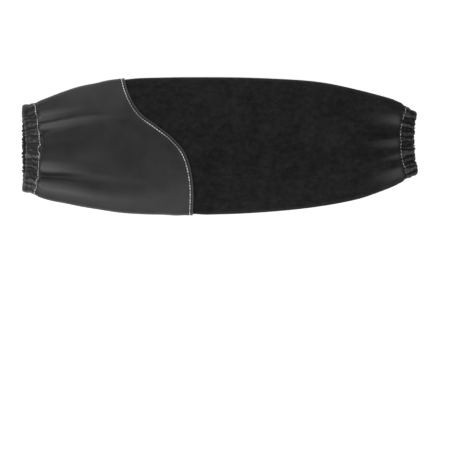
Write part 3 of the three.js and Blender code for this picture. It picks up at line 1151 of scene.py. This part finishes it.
@dataclass(kw_only=True)
class CuffCasing(SweptPiece):
    """A gathered casing: the leather folded over the end round its elastic, and drawn up in uneven ridges.

    In its methods share runs from 0 at the casing's edge to 1 at its rim, and around counts half turns.

    Attributes:
        end: the end that it finishes.
        outer_loops: how finely its outer face is cut.
        nose_loops: how finely the rim is rounded.
        inner_loops: how finely its inner face is cut.
        wander: how far a ridge winds sideways along the cuff, in half turns.
        winding: how this changes along the ridge, and how unevenly and how often round the cuff.
        fine_share: how much of a ridge the fine gathers cut away.
        crossing: how the fine gathers come and go, likewise.
        fine_floor: how much of them stays between.
        side_squareness: how soon the side folds end and the faces begin.
        side_gather: how much of the gathers stays at the side folds.
        scallop: how far the gathers push the rim to and fro.
        rim_level: how full a gather is where the rim stands on its even line.
        side_rim_level: how full the rim's gathers count as at the side folds.
        shoulder: the run of the rim's round edge.
        shoulder_at_sides: how much more it is at the side folds.
        nose_squareness: how square the rim is turned.
        edge_thickness: how much thicker than a wall the cut edge stands.
        edge_rise: where the leather begins to climb over the elastic, as a share of the way to the stitches,
            and over how much of its width.
        gather_rise: where the ridges begin to swell, likewise.
        rim_fall: how much lower they are at the rim, from where, and over how much of its width.
        stitch_sink: how deep the stitches draw the leather down, and over how much of its width.
        valley_wall: the leather is drawn down almost onto the elastic between two ridges.
        inner_crest: how much of the solid casing's inner gathers shows inside the rim.
        inner_rise: how soon the inner face rises to them from the casing's edge.
        inner_slack: how much lower it lies there.
        closed_gap: the gap between the two layers where they are sewn together.
        pocket_room: how far the pocket stays from the stitches in millimetres, and from the rim in walls.
        contrast: how much lighter the painted highlight on the ridges is than the painted shade in the valleys.
        shade_level: how full a gather is where it gets neither painted highlight nor painted shade.
        rim_light: how much more painted highlight the rim gets.
        rim_shade: how much lighter the lumps inside the rim are than the painted shade behind them.
    """

    end: End
    columns: int = 640
    outer_loops: int = 30
    nose_loops: int = 9
    inner_loops: int = 16
    wander: float = 0.013
    winding: tuple[float, float, float] = (5.1, 9.0, 3.0)
    fine_share: float = 0.5
    crossing: tuple[float, float, float] = (17.0, 6.0, 13.0)
    fine_floor: float = 0.4
    side_squareness: float = 10.0
    side_gather: float = 0.3
    scallop: float = 3.4
    rim_level: float = 0.62
    side_rim_level: float = 0.6
    shoulder: float = 2.3
    shoulder_at_sides: float = 1.6
    nose_squareness: float = 0.8
    edge_thickness: float = 0.25
    edge_rise: tuple[float, float] = (0.6, 0.26)
    gather_rise: tuple[float, float] = (0.3, 0.3)
    rim_fall: tuple[float, float, float] = (0.15, 0.7, 0.3)
    stitch_sink: tuple[float, float] = (0.25, 0.05)
    valley_wall: float = 0.6
    inner_crest: float = 0.8
    inner_rise: float = 1.6
    inner_slack: float = 0.4
    closed_gap: float = 0.02
    pocket_room: float = 1.5
    contrast: float = 4.0
    shade_level: float = 0.42
    rim_light: float = 0.25
    rim_shade: float = 0.8

    @property
    def gather_height(self) -> float:
        """Returns how high the ridges stand above the valleys, up to the height of the solid casing's."""
        return self.form.gather_height + self.end.wall - self.valley_wall

    @property
    def stitched(self) -> float:
        """Returns the share of the casing's width at which its stitches lie."""
        return self.form.stitch_margin / (self.end.casing_width + self.form.stitch_margin)

    def gather(self, share: Values, around: np.ndarray) -> np.ndarray:
        """Finds the gathers: main ridges that wind along the cuff, broken up by fine ones.

        Args:
            share: the share of the way from the casing's edge to its rim.
            around: half turns round the sleeve.

        Returns:
            How high they stand at each place, about 0 to 1.
        """
        turn = math.pi * around
        along, uneven, often = self.winding
        wind = self.wander * np.sin(along * share + uneven * np.sin(2 * turn) + often * turn)
        along, uneven, often = self.crossing
        cross = 0.5 + 0.5 * np.sin(along * share + often * turn + uneven * np.sin(3 * turn))
        fine = self.end.fine_gathers.ridge(around - wind) * mix(self.fine_floor, 1.0, cross)
        return self.end.gathers.ridge(around + wind * share) * mix(1 - self.fine_share, 1.0, fine)

    def ridge(self, share: Values, around: np.ndarray) -> np.ndarray:
        """Finds the gathers as they stand, which at the side folds are the outline of the folded leather.

        Args:
            share: the share of the way from the casing's edge to its rim.
            around: half turns round the sleeve.

        Returns:
            How high they stand at each place, about 0 to 1.
        """
        gather = self.gather(share, around)
        by_stitches, at_rim = self.end.side_crests
        at_rim = at_rim + self.end.crest_slant * np.cos(math.pi * around)
        at_sides = mix(by_stitches, at_rim, share) + self.side_gather * (gather - self.form.gather_level)
        return mix(gather, at_sides, self.sideways(around))

    def sideways(self, around: np.ndarray) -> np.ndarray:
        """Returns 1 at the side folds and 0 over the faces between them."""
        return np.abs(np.cos(math.pi * around)) ** self.side_squareness

    def rim(self, around: np.ndarray) -> np.ndarray:
        """Returns the uneven rim's distance from the end of the sleeve's full length."""
        crest = mix(self.ridge(1.0, around), self.side_rim_level, self.sideways(around))
        return self.form.rim_distance(self.end, around) + self.scallop * (self.rim_level - crest)

    def pocket(self, around: np.ndarray) -> tuple[np.ndarray, np.ndarray]:
        """Returns where the pocket for the elastic ends at the rim, and where at the stitches."""
        by_rim = self.rim(around) + self.pocket_room * self.end.wall
        return by_rim, self.form.strayed_stitches(self.end, around) - self.pocket_room

    def outer_height(self, share: Values, around: np.ndarray) -> np.ndarray:
        """Finds the outer face.

        Args:
            share: the share of the way from the casing's edge to its rim.
            around: half turns round the sleeve.

        Returns:
            The face's height above the middle surface.
        """
        layer = self.form.pocket_half_depth + self.valley_wall
        start = self.end.wall / 2 + self.edge_thickness
        rise_at, rise_run = self.edge_rise
        swell_at, swell_run = self.gather_rise
        fall, fall_at, fall_run = self.rim_fall
        sink, sink_run = self.stitch_sink
        base = mix(start, layer, ease((share - rise_at * self.stitched) / rise_run))
        base = base - sink * bump(share - self.stitched, sink_run)
        swell = ease((share - swell_at * self.stitched) / swell_run)
        swell = swell * (1 - fall * ease((share - fall_at) / fall_run))
        return base + self.gather_height * swell * self.ridge(share, around)

    def shade(self, share: float, around: np.ndarray, light: float = 0.0) -> np.ndarray:
        """Returns the outer face's painted light: a painted highlight on the gathers' crests and painted shade
        between them.
        """
        return np.clip(self.contrast * (self.gather(share, around) - self.shade_level) + light, -1, 1)

    def loops(self, around: np.ndarray) -> list[Loop]:
        """Lays out the wall: over the gathers, round the rim, back inside, and round the pocket.

        Args:
            around: the places round the sleeve.

        Returns:
            The wall's loops in order, each once.
        """
        form, end = self.form, self.end
        stitches = form.strayed_stitches(end, around)
        edge = stitches + form.stitch_margin
        rim = self.rim(around)
        shoulder = rim + self.shoulder + self.shoulder_at_sides * self.sideways(around)
        crest = np.clip(self.ridge(1.0, around), 0, 1)
        rim_top = self.outer_height(1.0, around)
        inner_layer = form.pocket_half_depth + end.wall
        rim_low = inner_layer + form.inner_gather_height * self.inner_crest * crest
        # The inner face and the pocket get a painted shade, where the inside of the cuff lies in shade.
        painted_shade = -1.0

        rows: list[tuple[np.ndarray, Values, Values, bool]] = []
        for share in np.linspace(0, 1, self.outer_loops, endpoint=False):
            x = mix(edge, shoulder, share)
            rows.append((x, self.outer_height(share, around), self.shade(share, around), True))
        for angle in np.linspace(math.pi / 2, -math.pi / 2, self.nose_loops):
            over = angle > 0
            # Painted highlight on top of the rim; painted shade inside it, a little lighter on its lumps.
            painted_light = self.shade(1.0, around, self.rim_light) if over else self.rim_shade * crest + painted_shade
            tall = rim_top if over else rim_low
            reach = (shoulder - rim) * math.cos(angle) ** self.nose_squareness
            rows.append((shoulder - reach, tall * math.sin(angle), painted_light, True))
        for share in np.linspace(1, 0, self.inner_loops, endpoint=False)[1:]:
            inner = mix(inner_layer - self.inner_slack, rim_low, ease(share * self.inner_rise))
            rows.append((mix(edge, shoulder, share), -inner, painted_shade, False))

        pocket_end, pocket_edge = self.pocket(around)
        depth, closed = form.pocket_half_depth, end.wall / 2
        tight = closed + self.closed_gap
        lower = [(edge, -tight), (stitches, -tight), (pocket_edge, -depth), (pocket_end, -depth)]
        upper = [(distance, -level) for distance, level in reversed(lower)]
        for distance, level in [(edge, -closed - self.edge_thickness), *lower, *upper]:
            rows.append((distance, level, painted_shade, False))
        return [Loop(form.place_from(end, distance), *rest) for distance, *rest in rows]

    def declare(self, piece: bpy.types.Object, outer: np.ndarray) -> None:
        """Args:
            piece: the casing; not used.
            outer: the points of its outer face, loop by loop; not used.
        """


@dataclass(kw_only=True)
class ElasticBand(SweptPiece):
    """The elastic in a casing: a woven tape drawn tight in the pocket between the two layers of leather.

    At less than 10 mm wide it is too narrow to declare as a sheet.
    """

    casing: CuffCasing
    slot: Slot = Slot.ELASTIC
    columns: int = 160
    width: float = 6.0
    thickness: float = 1.0

    def loops(self, around: np.ndarray) -> list[Loop]:
        """Lays out the tape: three loops on its upper face and three on its lower one.

        Args:
            around: the places round the sleeve.

        Returns:
            The wall's loops in order, each once.
        """
        middle = sum(self.casing.pocket(around)) / 2
        half = self.thickness / 2
        faces = [(share, half) for share in (0.5, 0.0, -0.5)] + [(share, -half) for share in (-0.5, 0.0, 0.5)]
        place = self.form.place_from
        return [Loop(place(self.casing.end, middle + share * self.width), level) for share, level in faces]


# --------------------------------------------------------------------------------------------------------------
# Stitches


@dataclass
class StitchRow:
    """A row of lockstitches: short threads that lie on the leather and dive into it at both ends.

    Attributes:
        name: the row's name.
        pitch: how far apart the stitches are.
        bite: the gap between two stitches, where the thread is in the leather.
        thread_radius: the thread's radius.
        lift: how far the thread's middle lies above the leather.
        sides: how many sides the thread has.
        bends: how many pieces it bends in.
        slimming: how much slimmer it is at its ends.
        dive: how many of its radii the ends dive into the leather.
    """

    name: str
    pitch: float = 3.2
    bite: float = 0.5
    thread_radius: float = 0.42
    lift: float = 0.3
    sides: int = 6
    bends: int = 4
    slimming: float = 0.4
    dive: float = 1.3

    def prototype(self) -> bpy.types.Mesh:
        """Makes the mesh that every stitch of the row is a scaled copy of.

        Returns:
            A stitch along X, with Z away from the leather, for a span of 1 mm and a radius of 1 mm.
        """
        mesh = bmesh.new()
        turn = Matrix.Rotation(math.pi / 2, 4, "Y")
        bmesh.ops.create_cone(
            mesh, segments=self.sides, radius1=1, radius2=1, depth=1, cap_ends=True, matrix=turn
        )
        spans = [e for e in mesh.edges if abs(e.verts[0].co.x - e.verts[1].co.x) > 0.5]
        bmesh.ops.subdivide_edges(mesh, edges=spans, cuts=self.bends - 1, use_grid_fill=True)
        for vert in mesh.verts:
            end = (2 * abs(vert.co.x)) ** 4
            slim = 1 - self.slimming * end
            vert.co.y *= slim
            vert.co.z = vert.co.z * slim - self.dive * end
        data = bpy.data.meshes.new(f"{self.name}_stitch")
        mesh.to_mesh(data)
        mesh.free()
        return data

    def build(self, path: np.ndarray, normals: np.ndarray, material: bpy.types.Material) -> bpy.types.Object:
        """Sews the row along a path.

        Args:
            path: points of the line on the leather, in millimetres.
            normals: the leather's outward normal at each of them.
            material: the thread.

        Returns:
            The finished piece.
        """
        run = np.concatenate([[0.0], np.cumsum(np.linalg.norm(np.diff(path, axis=0), axis=-1))])
        count = max(int(run[-1] / self.pitch), 1)
        starts = run[-1] / count * np.arange(count + 1)
        first, last, middle, out = (
            np.stack([np.interp(places, run, line[:, axis]) for axis in range(3)], axis=-1)
            for places, line in (
                (starts[:-1] + self.bite / 2, path),
                (starts[1:] - self.bite / 2, path),
                ((starts[:-1] + starts[1:]) / 2, path),
                ((starts[:-1] + starts[1:]) / 2, normals),
            )
        )
        single = self.prototype()
        per_stitch = len(single.vertices)
        mesh = bmesh.new()
        for i in range(count):
            ahead = Vector(last[i] - first[i])
            span = ahead.length
            ahead.normalize()
            aside = Vector(out[i]).cross(ahead).normalized()
            away = ahead.cross(aside)
            axes = Matrix((ahead * span, aside * self.thread_radius, away * self.thread_radius)).transposed()
            centre = Vector(middle[i]) + away * self.lift
            place = Matrix.Translation(centre * METRES) @ (axes * METRES).to_4x4()
            mesh.from_mesh(single)
            mesh.verts.ensure_lookup_table()
            bmesh.ops.transform(mesh, matrix=place, verts=mesh.verts[-per_stitch:])
        bpy.data.meshes.remove(single)
        bmesh.ops.recalc_face_normals(mesh, faces=mesh.faces)
        return finish_piece(mesh, self.name, material)


@dataclass
class Stitching:
    """All the rows of stitches on the sleeve."""

    form: SleeveForm
    thread: bpy.types.Material
    steps: int = 900
    cuff_stitch: float = 3.1  # the length of a cuff's stitches
    cuff_lift: float = 0.7  # how far their middle lies above the leather, as a share of the thread's radius
    closing_margin: float = 4.0  # how far the closing seam stays from the cuffs
    closing_sink: float = 0.1  # how deep it lies in the leather

    def sew(self, row: StitchRow, x: np.ndarray, around: np.ndarray, height: Values) -> bpy.types.Object:
        """Sews a row of stitches.

        Args:
            row: the row.
            x: its places along the sleeve.
            around: half turns round it.
            height: its height above the middle surface.

        Returns:
            The finished piece.
        """
        height = np.broadcast_to(height, x.shape)
        points = self.form.above(x, around, height)
        return row.build(points, self.form.above(x, around, height + 1) - points, self.thread)

    def seam(self, panel: SmoothPanel) -> bpy.types.Object:
        """Sews the topstitching just behind the folded edge of the S-shaped seam.

        Args:
            panel: the smooth leather.

        Returns:
            The finished piece.
        """
        around = np.linspace(0, 2, self.steps)
        edge, slant = self.form.seam_place(around)
        x = edge - (panel.edge_draw + panel.stitch_inset) * slant
        row = StitchRow("seam_stitches", pitch=3.4, bite=0.2, thread_radius=0.5)
        return self.sew(row, x, around, panel.lap_height(panel.stitch_inset))

    def cuff(self, casing: CuffCasing, name: str, radius: float, bite: float) -> bpy.types.Object:
        """Sews the row that closes a cuff's casing.

        Args:
            casing: the cuff.
            name: the row's name.
            radius: the thread's radius.
            bite: the gap between two stitches.

        Returns:
            The finished piece.
        """
        around = np.linspace(0, 2, self.steps)
        x = self.form.place_from(casing.end, self.form.strayed_stitches(casing.end, around))
        pitch, lift = self.cuff_stitch + bite, self.cuff_lift * radius
        row = StitchRow(name, pitch=pitch, bite=bite, thread_radius=radius, lift=lift)
        return self.sew(row, x, around, casing.outer_height(casing.stitched, around))

    def closing_seam(self) -> bpy.types.Object:
        """Sews the long seam that closes the tube underneath, down in its groove.

        Returns:
            The finished piece.
        """
        form = self.form
        start, end = (
            form.place_from(end, end.top_ring(form) + self.closing_margin) for end in (form.upper, form.wrist)
        )
        x = np.linspace(start, end, self.steps)
        row = StitchRow("closing_seam_stitches", pitch=4.0, bite=0.6, lift=0.1)
        return self.sew(row, x, np.full_like(x, form.closing_seam_at), form.smooth_wall / 2 - self.closing_sink)


# --------------------------------------------------------------------------------------------------------------
# Finishes


def linear(code: str) -> tuple[float, float, float, float]:
    """Returns an sRGB hex colour such as "#3a3a3a" as linear red, green, blue and alpha."""
    values = [int(code[i : i + 2], 16) / 255 for i in (1, 3, 5)]
    return (*(v / 12.92 if v <= 0.04045 else ((v + 0.055) / 1.055) ** 2.4 for v in values), 1.0)


def add_node(
    tree: bpy.types.NodeTree, kind: str, inputs: dict[str | int, object], **settings: object
) -> bpy.types.Node:
    """Adds a node to a material.

    Args:
        tree: the material's node tree.
        kind: the node's type, without its first word ShaderNode.
        inputs: what its inputs are set to, by name or number: a value, or the socket that feeds it.
        settings: the node's own settings.

    Returns:
        The new node.
    """
    node = tree.nodes.new(f"ShaderNode{kind}")
    for key, value in settings.items():
        setattr(node, key, value)
    for key, value in inputs.items():
        if isinstance(value, bpy.types.NodeSocket):
            tree.links.new(value, node.inputs[key])
        else:
            node.inputs[key].default_value = value
    return node


def new_material(name: str) -> tuple[bpy.types.Material, bpy.types.NodeTree, bpy.types.NodeSocket]:
    """Starts a material.

    Args:
        name: its name.

    Returns:
        The material, its empty node tree, and the place on the object that its patterns follow.
    """
    material = bpy.data.materials.new(name)
    material.use_nodes = True
    tree = material.node_tree
    tree.nodes.clear()
    return material, tree, add_node(tree, "TexCoord", {}).outputs["Object"]


def per_metre(millimetres: float) -> float:
    """Returns the scale of a pattern that repeats every so many millimetres."""
    return 1 / (millimetres * METRES)


def bands_per_metre(millimetres: float) -> float:
    """Returns the scale of a wave texture with a band every so many millimetres."""
    return math.tau / WAVE_PHASE * per_metre(millimetres)


def tones(tree: bpy.types.NodeTree, fac: bpy.types.NodeSocket, *stops: tuple[float, str]) -> bpy.types.NodeSocket:
    """Turns a pattern into colours.

    Args:
        tree: the material's node tree.
        fac: the pattern.
        stops: its levels and their sRGB hex colours.

    Returns:
        The colours.
    """
    ramp = add_node(tree, "ValToRGB", {"Fac": fac})
    for element, (level, code) in zip(ramp.color_ramp.elements, stops):
        element.position = level
        element.color = linear(code)
    return ramp.outputs["Color"]


def paint_highlight_and_shade(
    tree: bpy.types.NodeTree, colour: bpy.types.NodeSocket, painted_highlight: str, painted_shade: str
) -> bpy.types.NodeSocket:
    """Lightens leather with a painted highlight and darkens it with a painted shade, from the piece's painted
    light attribute.

    Args:
        tree: the material's node tree.
        colour: the leather's even colour.
        painted_highlight: the painted highlight's colour, where the painted light is 1.
        painted_shade: the painted shade's colour, where the painted light is -1.

    Returns:
        The mixed colour.
    """
    painted_light = add_node(tree, "Attribute", {}, attribute_name="painted_light").outputs["Fac"]
    # How far the painted shade goes, where the painted light falls below 0.
    painted_shade_share = add_node(tree, "MapRange", {"Value": painted_light, "From Min": 0.0, "From Max": -1.0}).outputs["Result"]
    for share, code in ((painted_light, painted_highlight), (painted_shade_share, painted_shade)):
        inputs = {"Factor": share, "A": colour, "B": linear(code)}
        colour = add_node(tree, "Mix", inputs, data_type="RGBA").outputs["Result"]
    return colour


@dataclass(frozen=True)
class SmoothLeather:
    """Aniline-dyed, drum-finished cowhide, grain side out: a soft satin gloss over a fine pebble grain.

    The folded edge, the gathers' crests and the folds' ridges get a painted highlight, their hollows a painted
    shade.
    """

    dark: str = "#202021"
    light: str = "#2e2e2f"
    # The next two colours are painted light: a painted highlight on ridges, crests and the folded edge, and a
    # painted shade in valleys and inside the cuff.
    painted_highlight: str = "#565657"
    painted_shade: str = "#0c0c0c"
    grain: float = 1.3  # real pebbles are about 0.5 mm, drawn coarser so that they show
    crease: float = 9.0
    patch: float = 26.0
    roughness: tuple[float, float] = (0.41, 0.53)

    def build(self) -> bpy.types.Material:
        """Builds the grain, the creases and the worn ridges.

        Returns:
            The material.
        """
        material, tree, place = new_material("satin_grain_cowhide")
        patches = add_node(tree, "TexNoise", {"Vector": place, "Scale": per_metre(self.patch), "Detail": 3.0})
        colour = tones(tree, patches.outputs["Fac"], (0.3, self.dark), (0.7, self.light))
        pebbles = add_node(
            tree, "TexVoronoi", {"Vector": place, "Scale": per_metre(self.grain)}, feature="SMOOTH_F1"
        )
        fine = add_node(
            tree, "Bump", {"Height": pebbles.outputs["Distance"], "Strength": 0.16, "Distance": 0.12 * METRES}
        )
        stretched = add_node(tree, "Mapping", {"Vector": place, "Scale": (0.4, 1.0, 1.0)}).outputs["Vector"]
        creases = add_node(
            tree,
            "TexNoise",
            {"Vector": stretched, "Scale": per_metre(self.crease), "Detail": 4.0, "Roughness": 0.6},
        ).outputs["Fac"]
        broad = add_node(
            tree,
            "Bump",
            {"Height": creases, "Normal": fine.outputs["Normal"], "Strength": 0.22, "Distance": 0.8 * METRES},
        )
        smoothest, roughest = self.roughness
        gloss = add_node(tree, "MapRange", {"Value": creases, "To Min": smoothest, "To Max": roughest})
        shader = add_node(
            tree,
            "BsdfPrincipled",
            {
                "Base Color": paint_highlight_and_shade(tree, colour, self.painted_highlight, self.painted_shade),
                "Roughness": gloss.outputs["Result"],
                "IOR": 1.5,
                "Specular IOR Level": 0.42,
                "Normal": broad.outputs["Normal"],
            },
        )
        add_node(tree, "OutputMaterial", {"Surface": shader.outputs["BSDF"]})
        return material


@dataclass(frozen=True)
class SplitSuede:
    """Chrome-tanned split cowhide, buffed on its flesh side: a matt black nap with brushed, cloudy patches.

    A fold's ridge gets a greyer painted highlight, and its valley and the inside of the wrist cuff a painted
    shade.
    """

    dark: str = "#101010"
    light: str = "#232323"
    # The next two colours are painted light: a greyer painted highlight on ridges and crests, and a painted shade
    # in valleys and inside the cuff.
    painted_highlight: str = "#464646"
    painted_shade: str = "#050505"
    nap: float = 1.1  # real fibres are about 0.1 mm thick, drawn in tufts coarse enough to show
    brush: float = 6.0
    brush_share: float = 0.6
    patch: float = 30.0

    def build(self) -> bpy.types.Material:
        """Builds the nap, its brushed tufts and the darker patches.

        Returns:
            The material.
        """
        material, tree, place = new_material("buffed_split_suede")
        stretched = add_node(tree, "Mapping", {"Vector": place, "Scale": (0.8, 1.0, 1.0)}).outputs["Vector"]
        patches, tufts, fibres = (
            add_node(
                tree,
                "TexNoise",
                {
                    "Vector": vector,
                    "Scale": per_metre(size),
                    "Detail": detail,
                    "Roughness": rough,
                    "Distortion": bend,
                },
            ).outputs["Fac"]
            for vector, size, detail, rough, bend in (
                (place, self.patch, 6.0, 0.62, 0.6),
                (stretched, self.brush, 5.0, 0.7, 0.0),
                (stretched, self.nap, 4.0, 0.75, 0.0),
            )
        )
        blend = add_node(tree, "Math", {0: patches, 1: self.brush_share, 2: tufts}, operation="MULTIPLY_ADD")
        colour = tones(tree, blend.outputs[0], (0.62, self.dark), (0.98, self.light))
        fine = add_node(tree, "Bump", {"Height": fibres, "Strength": 0.6, "Distance": 0.35 * METRES})
        broad = add_node(
            tree,
            "Bump",
            {"Height": tufts, "Normal": fine.outputs["Normal"], "Strength": 0.35, "Distance": 1.0 * METRES},
        )
        shader = add_node(
            tree,
            "BsdfPrincipled",
            {
                "Base Color": paint_highlight_and_shade(tree, colour, self.painted_highlight, self.painted_shade),
                "Roughness": 0.95,
                "IOR": 1.45,
                "Specular IOR Level": 0.12,
                "Sheen Weight": 0.06,
                "Sheen Roughness": 0.6,
                "Normal": broad.outputs["Normal"],
            },
        )
        add_node(tree, "OutputMaterial", {"Surface": shader.outputs["BSDF"]})
        return material


@dataclass(frozen=True)
class WovenElastic:
    """Off-white knitted polyester elastic over rubber cords: fine ribs along the band."""

    yarn: str = "#dcdad2"
    shade: str = "#a9a69c"
    rib: float = 6.91  # real ribs and picks are about 1 mm apart, drawn coarser
    pick: float = 5.65

    def build(self) -> bpy.types.Material:
        """Builds the ribs along the tape and the picks across it.

        Returns:
            The material.
        """
        material, tree, place = new_material("ribbed_elastic_tape")
        ribs, picks = (
            add_node(
                tree,
                "TexWave",
                {"Vector": place, "Scale": bands_per_metre(step), "Distortion": bend},
                bands_direction=across,
            ).outputs["Fac"]
            for step, bend, across in ((self.rib, 0.3, "X"), (self.pick, 0.6, "Y"))
        )
        weave = add_node(tree, "Math", {0: ribs, 1: picks}, operation="MULTIPLY").outputs[0]
        raised = add_node(tree, "Bump", {"Height": weave, "Strength": 0.5, "Distance": 0.2 * METRES})
        shader = add_node(
            tree,
            "BsdfPrincipled",
            {
                "Base Color": tones(tree, weave, (0.0, self.shade), (0.8, self.yarn)),
                "Roughness": 0.85,
                "IOR": 1.5,
                "Specular IOR Level": 0.25,
                "Normal": raised.outputs["Normal"],
            },
        )
        add_node(tree, "OutputMaterial", {"Surface": shader.outputs["BSDF"]})
        return material


@dataclass(frozen=True)
class BondedThread:
    """White bonded nylon sewing thread: three twisted plies with a faint gloss."""

    ply: str = "#e6e6e3"
    # The darker grey between the plies is a painted shade in their grooves.
    groove: str = "#9d9d99"
    twist: float = 5.655  # real plies turn in about 1 mm, drawn coarser so that the stitches' tones differ

    def build(self) -> bpy.types.Material:
        """Builds the twisted plies.

        Returns:
            The material.
        """
        material, tree, place = new_material("bonded_nylon_thread")
        plies = add_node(
            tree,
            "TexWave",
            {"Vector": place, "Scale": bands_per_metre(self.twist), "Distortion": 1.2, "Detail": 2.0},
            bands_direction="DIAGONAL",
        ).outputs["Fac"]
        twisted = add_node(tree, "Bump", {"Height": plies, "Strength": 0.4, "Distance": 0.1 * METRES})
        shader = add_node(
            tree,
            "BsdfPrincipled",
            {
                "Base Color": tones(tree, plies, (0.0, self.groove), (0.5, self.ply)),
                "Roughness": 0.55,
                "IOR": 1.53,
                "Specular IOR Level": 0.4,
                "Normal": twisted.outputs["Normal"],
            },
        )
        add_node(tree, "OutputMaterial", {"Surface": shader.outputs["BSDF"]})
        return material


@dataclass(frozen=True)
class LitTable:
    """A matt white acrylic light table, lit evenly from beneath so that things on it cast almost no shadow."""

    colour: str = "#f7f7f7"
    glow: float = 0.62

    def build(self) -> bpy.types.Material:
        """Builds the table's own light.

        Returns:
            The material.
        """
        material, tree, _ = new_material("lit_white_acrylic")
        shader = add_node(
            tree,
            "BsdfPrincipled",
            {
                "Base Color": linear(self.colour),
                "Roughness": 0.9,
                "Specular IOR Level": 0.1,
                "Emission Color": linear(self.colour),
                "Emission Strength": self.glow,
            },
        )
        add_node(tree, "OutputMaterial", {"Surface": shader.outputs["BSDF"]})
        return material


# --------------------------------------------------------------------------------------------------------------
# The studio


@dataclass(frozen=True)
class SoftLight:
    """A softbox: where its middle hangs, its size in metres, its power in watts."""

    name: str
    place: tuple[float, float, float]
    size: tuple[float, float]
    power: float

    def hang(self) -> None:
        """Hangs the light and turns it towards the sleeve."""
        lamp = bpy.data.lights.new(self.name, "AREA")
        lamp.shape = "RECTANGLE"
        lamp.size, lamp.size_y = self.size
        lamp.energy = self.power
        holder = bpy.data.objects.new(self.name, lamp)
        holder.location = self.place
        holder.rotation_euler = (-Vector(self.place)).to_track_quat("-Z", "Y").to_euler()
        bpy.context.scene.collection.objects.link(holder)


@dataclass
class Studio:
    """The lit table, soft lights all round and the camera straight above.

    Attributes:
        floor_half: half the table's width in metres.
        sky: the colour of the even light from all round.
        sky_strength: its strength.
        lens: the camera's focal length in millimetres.
        sensor: the width of its sensor in millimetres.
        clip: how near and how far it sees, in metres.
        camera_height: its height in metres.
        roll_degrees: how far it is turned.
        aim: the picture's middle from the sleeve's, in millimetres along the camera's own axes.
        lights: the softboxes.
    """

    floor_half: float = 4.0
    sky: str = "#ffffff"
    sky_strength: float = 0.21
    lens: float = 135.0
    sensor: float = 36.0
    clip: tuple[float, float] = (0.05, 20.0)
    camera_height: float = 1.957
    roll_degrees: float = -0.92
    aim: tuple[float, float] = (6.9, -91.7)
    lights: tuple[SoftLight, ...] = (
        SoftLight("front_softbox", (0.1, -1.55, 1.15), (2.4, 0.8), 12.8),
        SoftLight("back_softbox", (0.0, 1.6, 1.1), (2.4, 0.7), 11.0),
        SoftLight("left_softbox", (-1.7, -0.1, 1.1), (0.8, 1.6), 15.0),
        SoftLight("right_softbox", (1.7, -0.1, 1.1), (0.8, 1.6), 14.0),
    )

    def lay_floor(self) -> None:
        """Makes the table top that the sleeve lies on."""
        mesh = bmesh.new()
        bmesh.ops.create_grid(mesh, x_segments=1, y_segments=1, size=self.floor_half)
        data = bpy.data.meshes.new("table_top")
        mesh.to_mesh(data)
        mesh.free()
        data.materials.append(LitTable().build())
        floor = bpy.data.objects.new("table_top", data)
        bpy.context.scene.collection.objects.link(floor)

    def light(self) -> None:
        """Sets the even sky and hangs the softboxes."""
        world = bpy.data.worlds.new("studio")
        world.use_nodes = True
        background = world.node_tree.nodes["Background"]
        background.inputs["Color"].default_value = linear(self.sky)
        background.inputs["Strength"].default_value = self.sky_strength
        bpy.context.scene.world = world
        for softbox in self.lights:
            softbox.hang()

    def set_camera(self) -> None:
        """Hangs the camera above the table, looking straight down."""
        lens = bpy.data.cameras.new("camera")
        lens.lens = self.lens
        lens.sensor_width = self.sensor
        lens.clip_start, lens.clip_end = self.clip
        camera = bpy.data.objects.new("camera", lens)
        roll = math.radians(self.roll_degrees)
        aside = Matrix.Rotation(roll, 2) @ (Vector(self.aim) * METRES)
        camera.location = (*aside, self.camera_height)
        camera.rotation_euler = (0.0, 0.0, roll)
        bpy.context.scene.collection.objects.link(camera)
        bpy.context.scene.camera = camera

    def build(self) -> None:
        """Sets up floor, lights, camera and plain colour."""
        self.lay_floor()
        self.light()
        self.set_camera()
        bpy.context.scene.view_settings.view_transform = "Standard"


def main() -> None:
    """Builds the sleeve piece by piece, then the studio."""
    logging.basicConfig(level=logging.INFO, format="%(name)s: %(message)s")
    form = SleeveForm()
    smooth, suede = SmoothLeather().build(), SplitSuede().build()
    thread, elastic = BondedThread().build(), WovenElastic().build()

    smooth_panel = SmoothPanel(form=form)
    smooth_panel.build(smooth)
    SuedePanel(form=form).build(suede)
    upper_cuff = CuffCasing(
        form=form, end=form.upper, name="upper_arm_cuff", node="upper_arm_cuff_casing", slot=Slot.SMOOTH
    )
    upper_cuff.build(smooth)
    wrist_cuff = CuffCasing(
        form=form,
        end=form.wrist,
        name="wrist_cuff",
        node="wrist_cuff_casing",
        slot=Slot.SUEDE,
        columns=520,
        shade_level=0.34,
        contrast=3.2,
    )
    wrist_cuff.build(suede)

    stitching = Stitching(form, thread)
    stitching.seam(smooth_panel)
    stitching.cuff(upper_cuff, "upper_cuff_stitches", radius=0.42, bite=0.1)
    stitching.cuff(wrist_cuff, "wrist_cuff_stitches", radius=0.23, bite=0.9)
    stitching.closing_seam()

    ElasticBand(form=form, casing=upper_cuff, name="upper_arm_tape", node="upper_arm_elastic").build(elastic)
    ElasticBand(form=form, casing=wrist_cuff, name="wrist_tape", node="wrist_elastic").build(elastic)

    Studio().build()


if __name__ == "__main__":
    main()
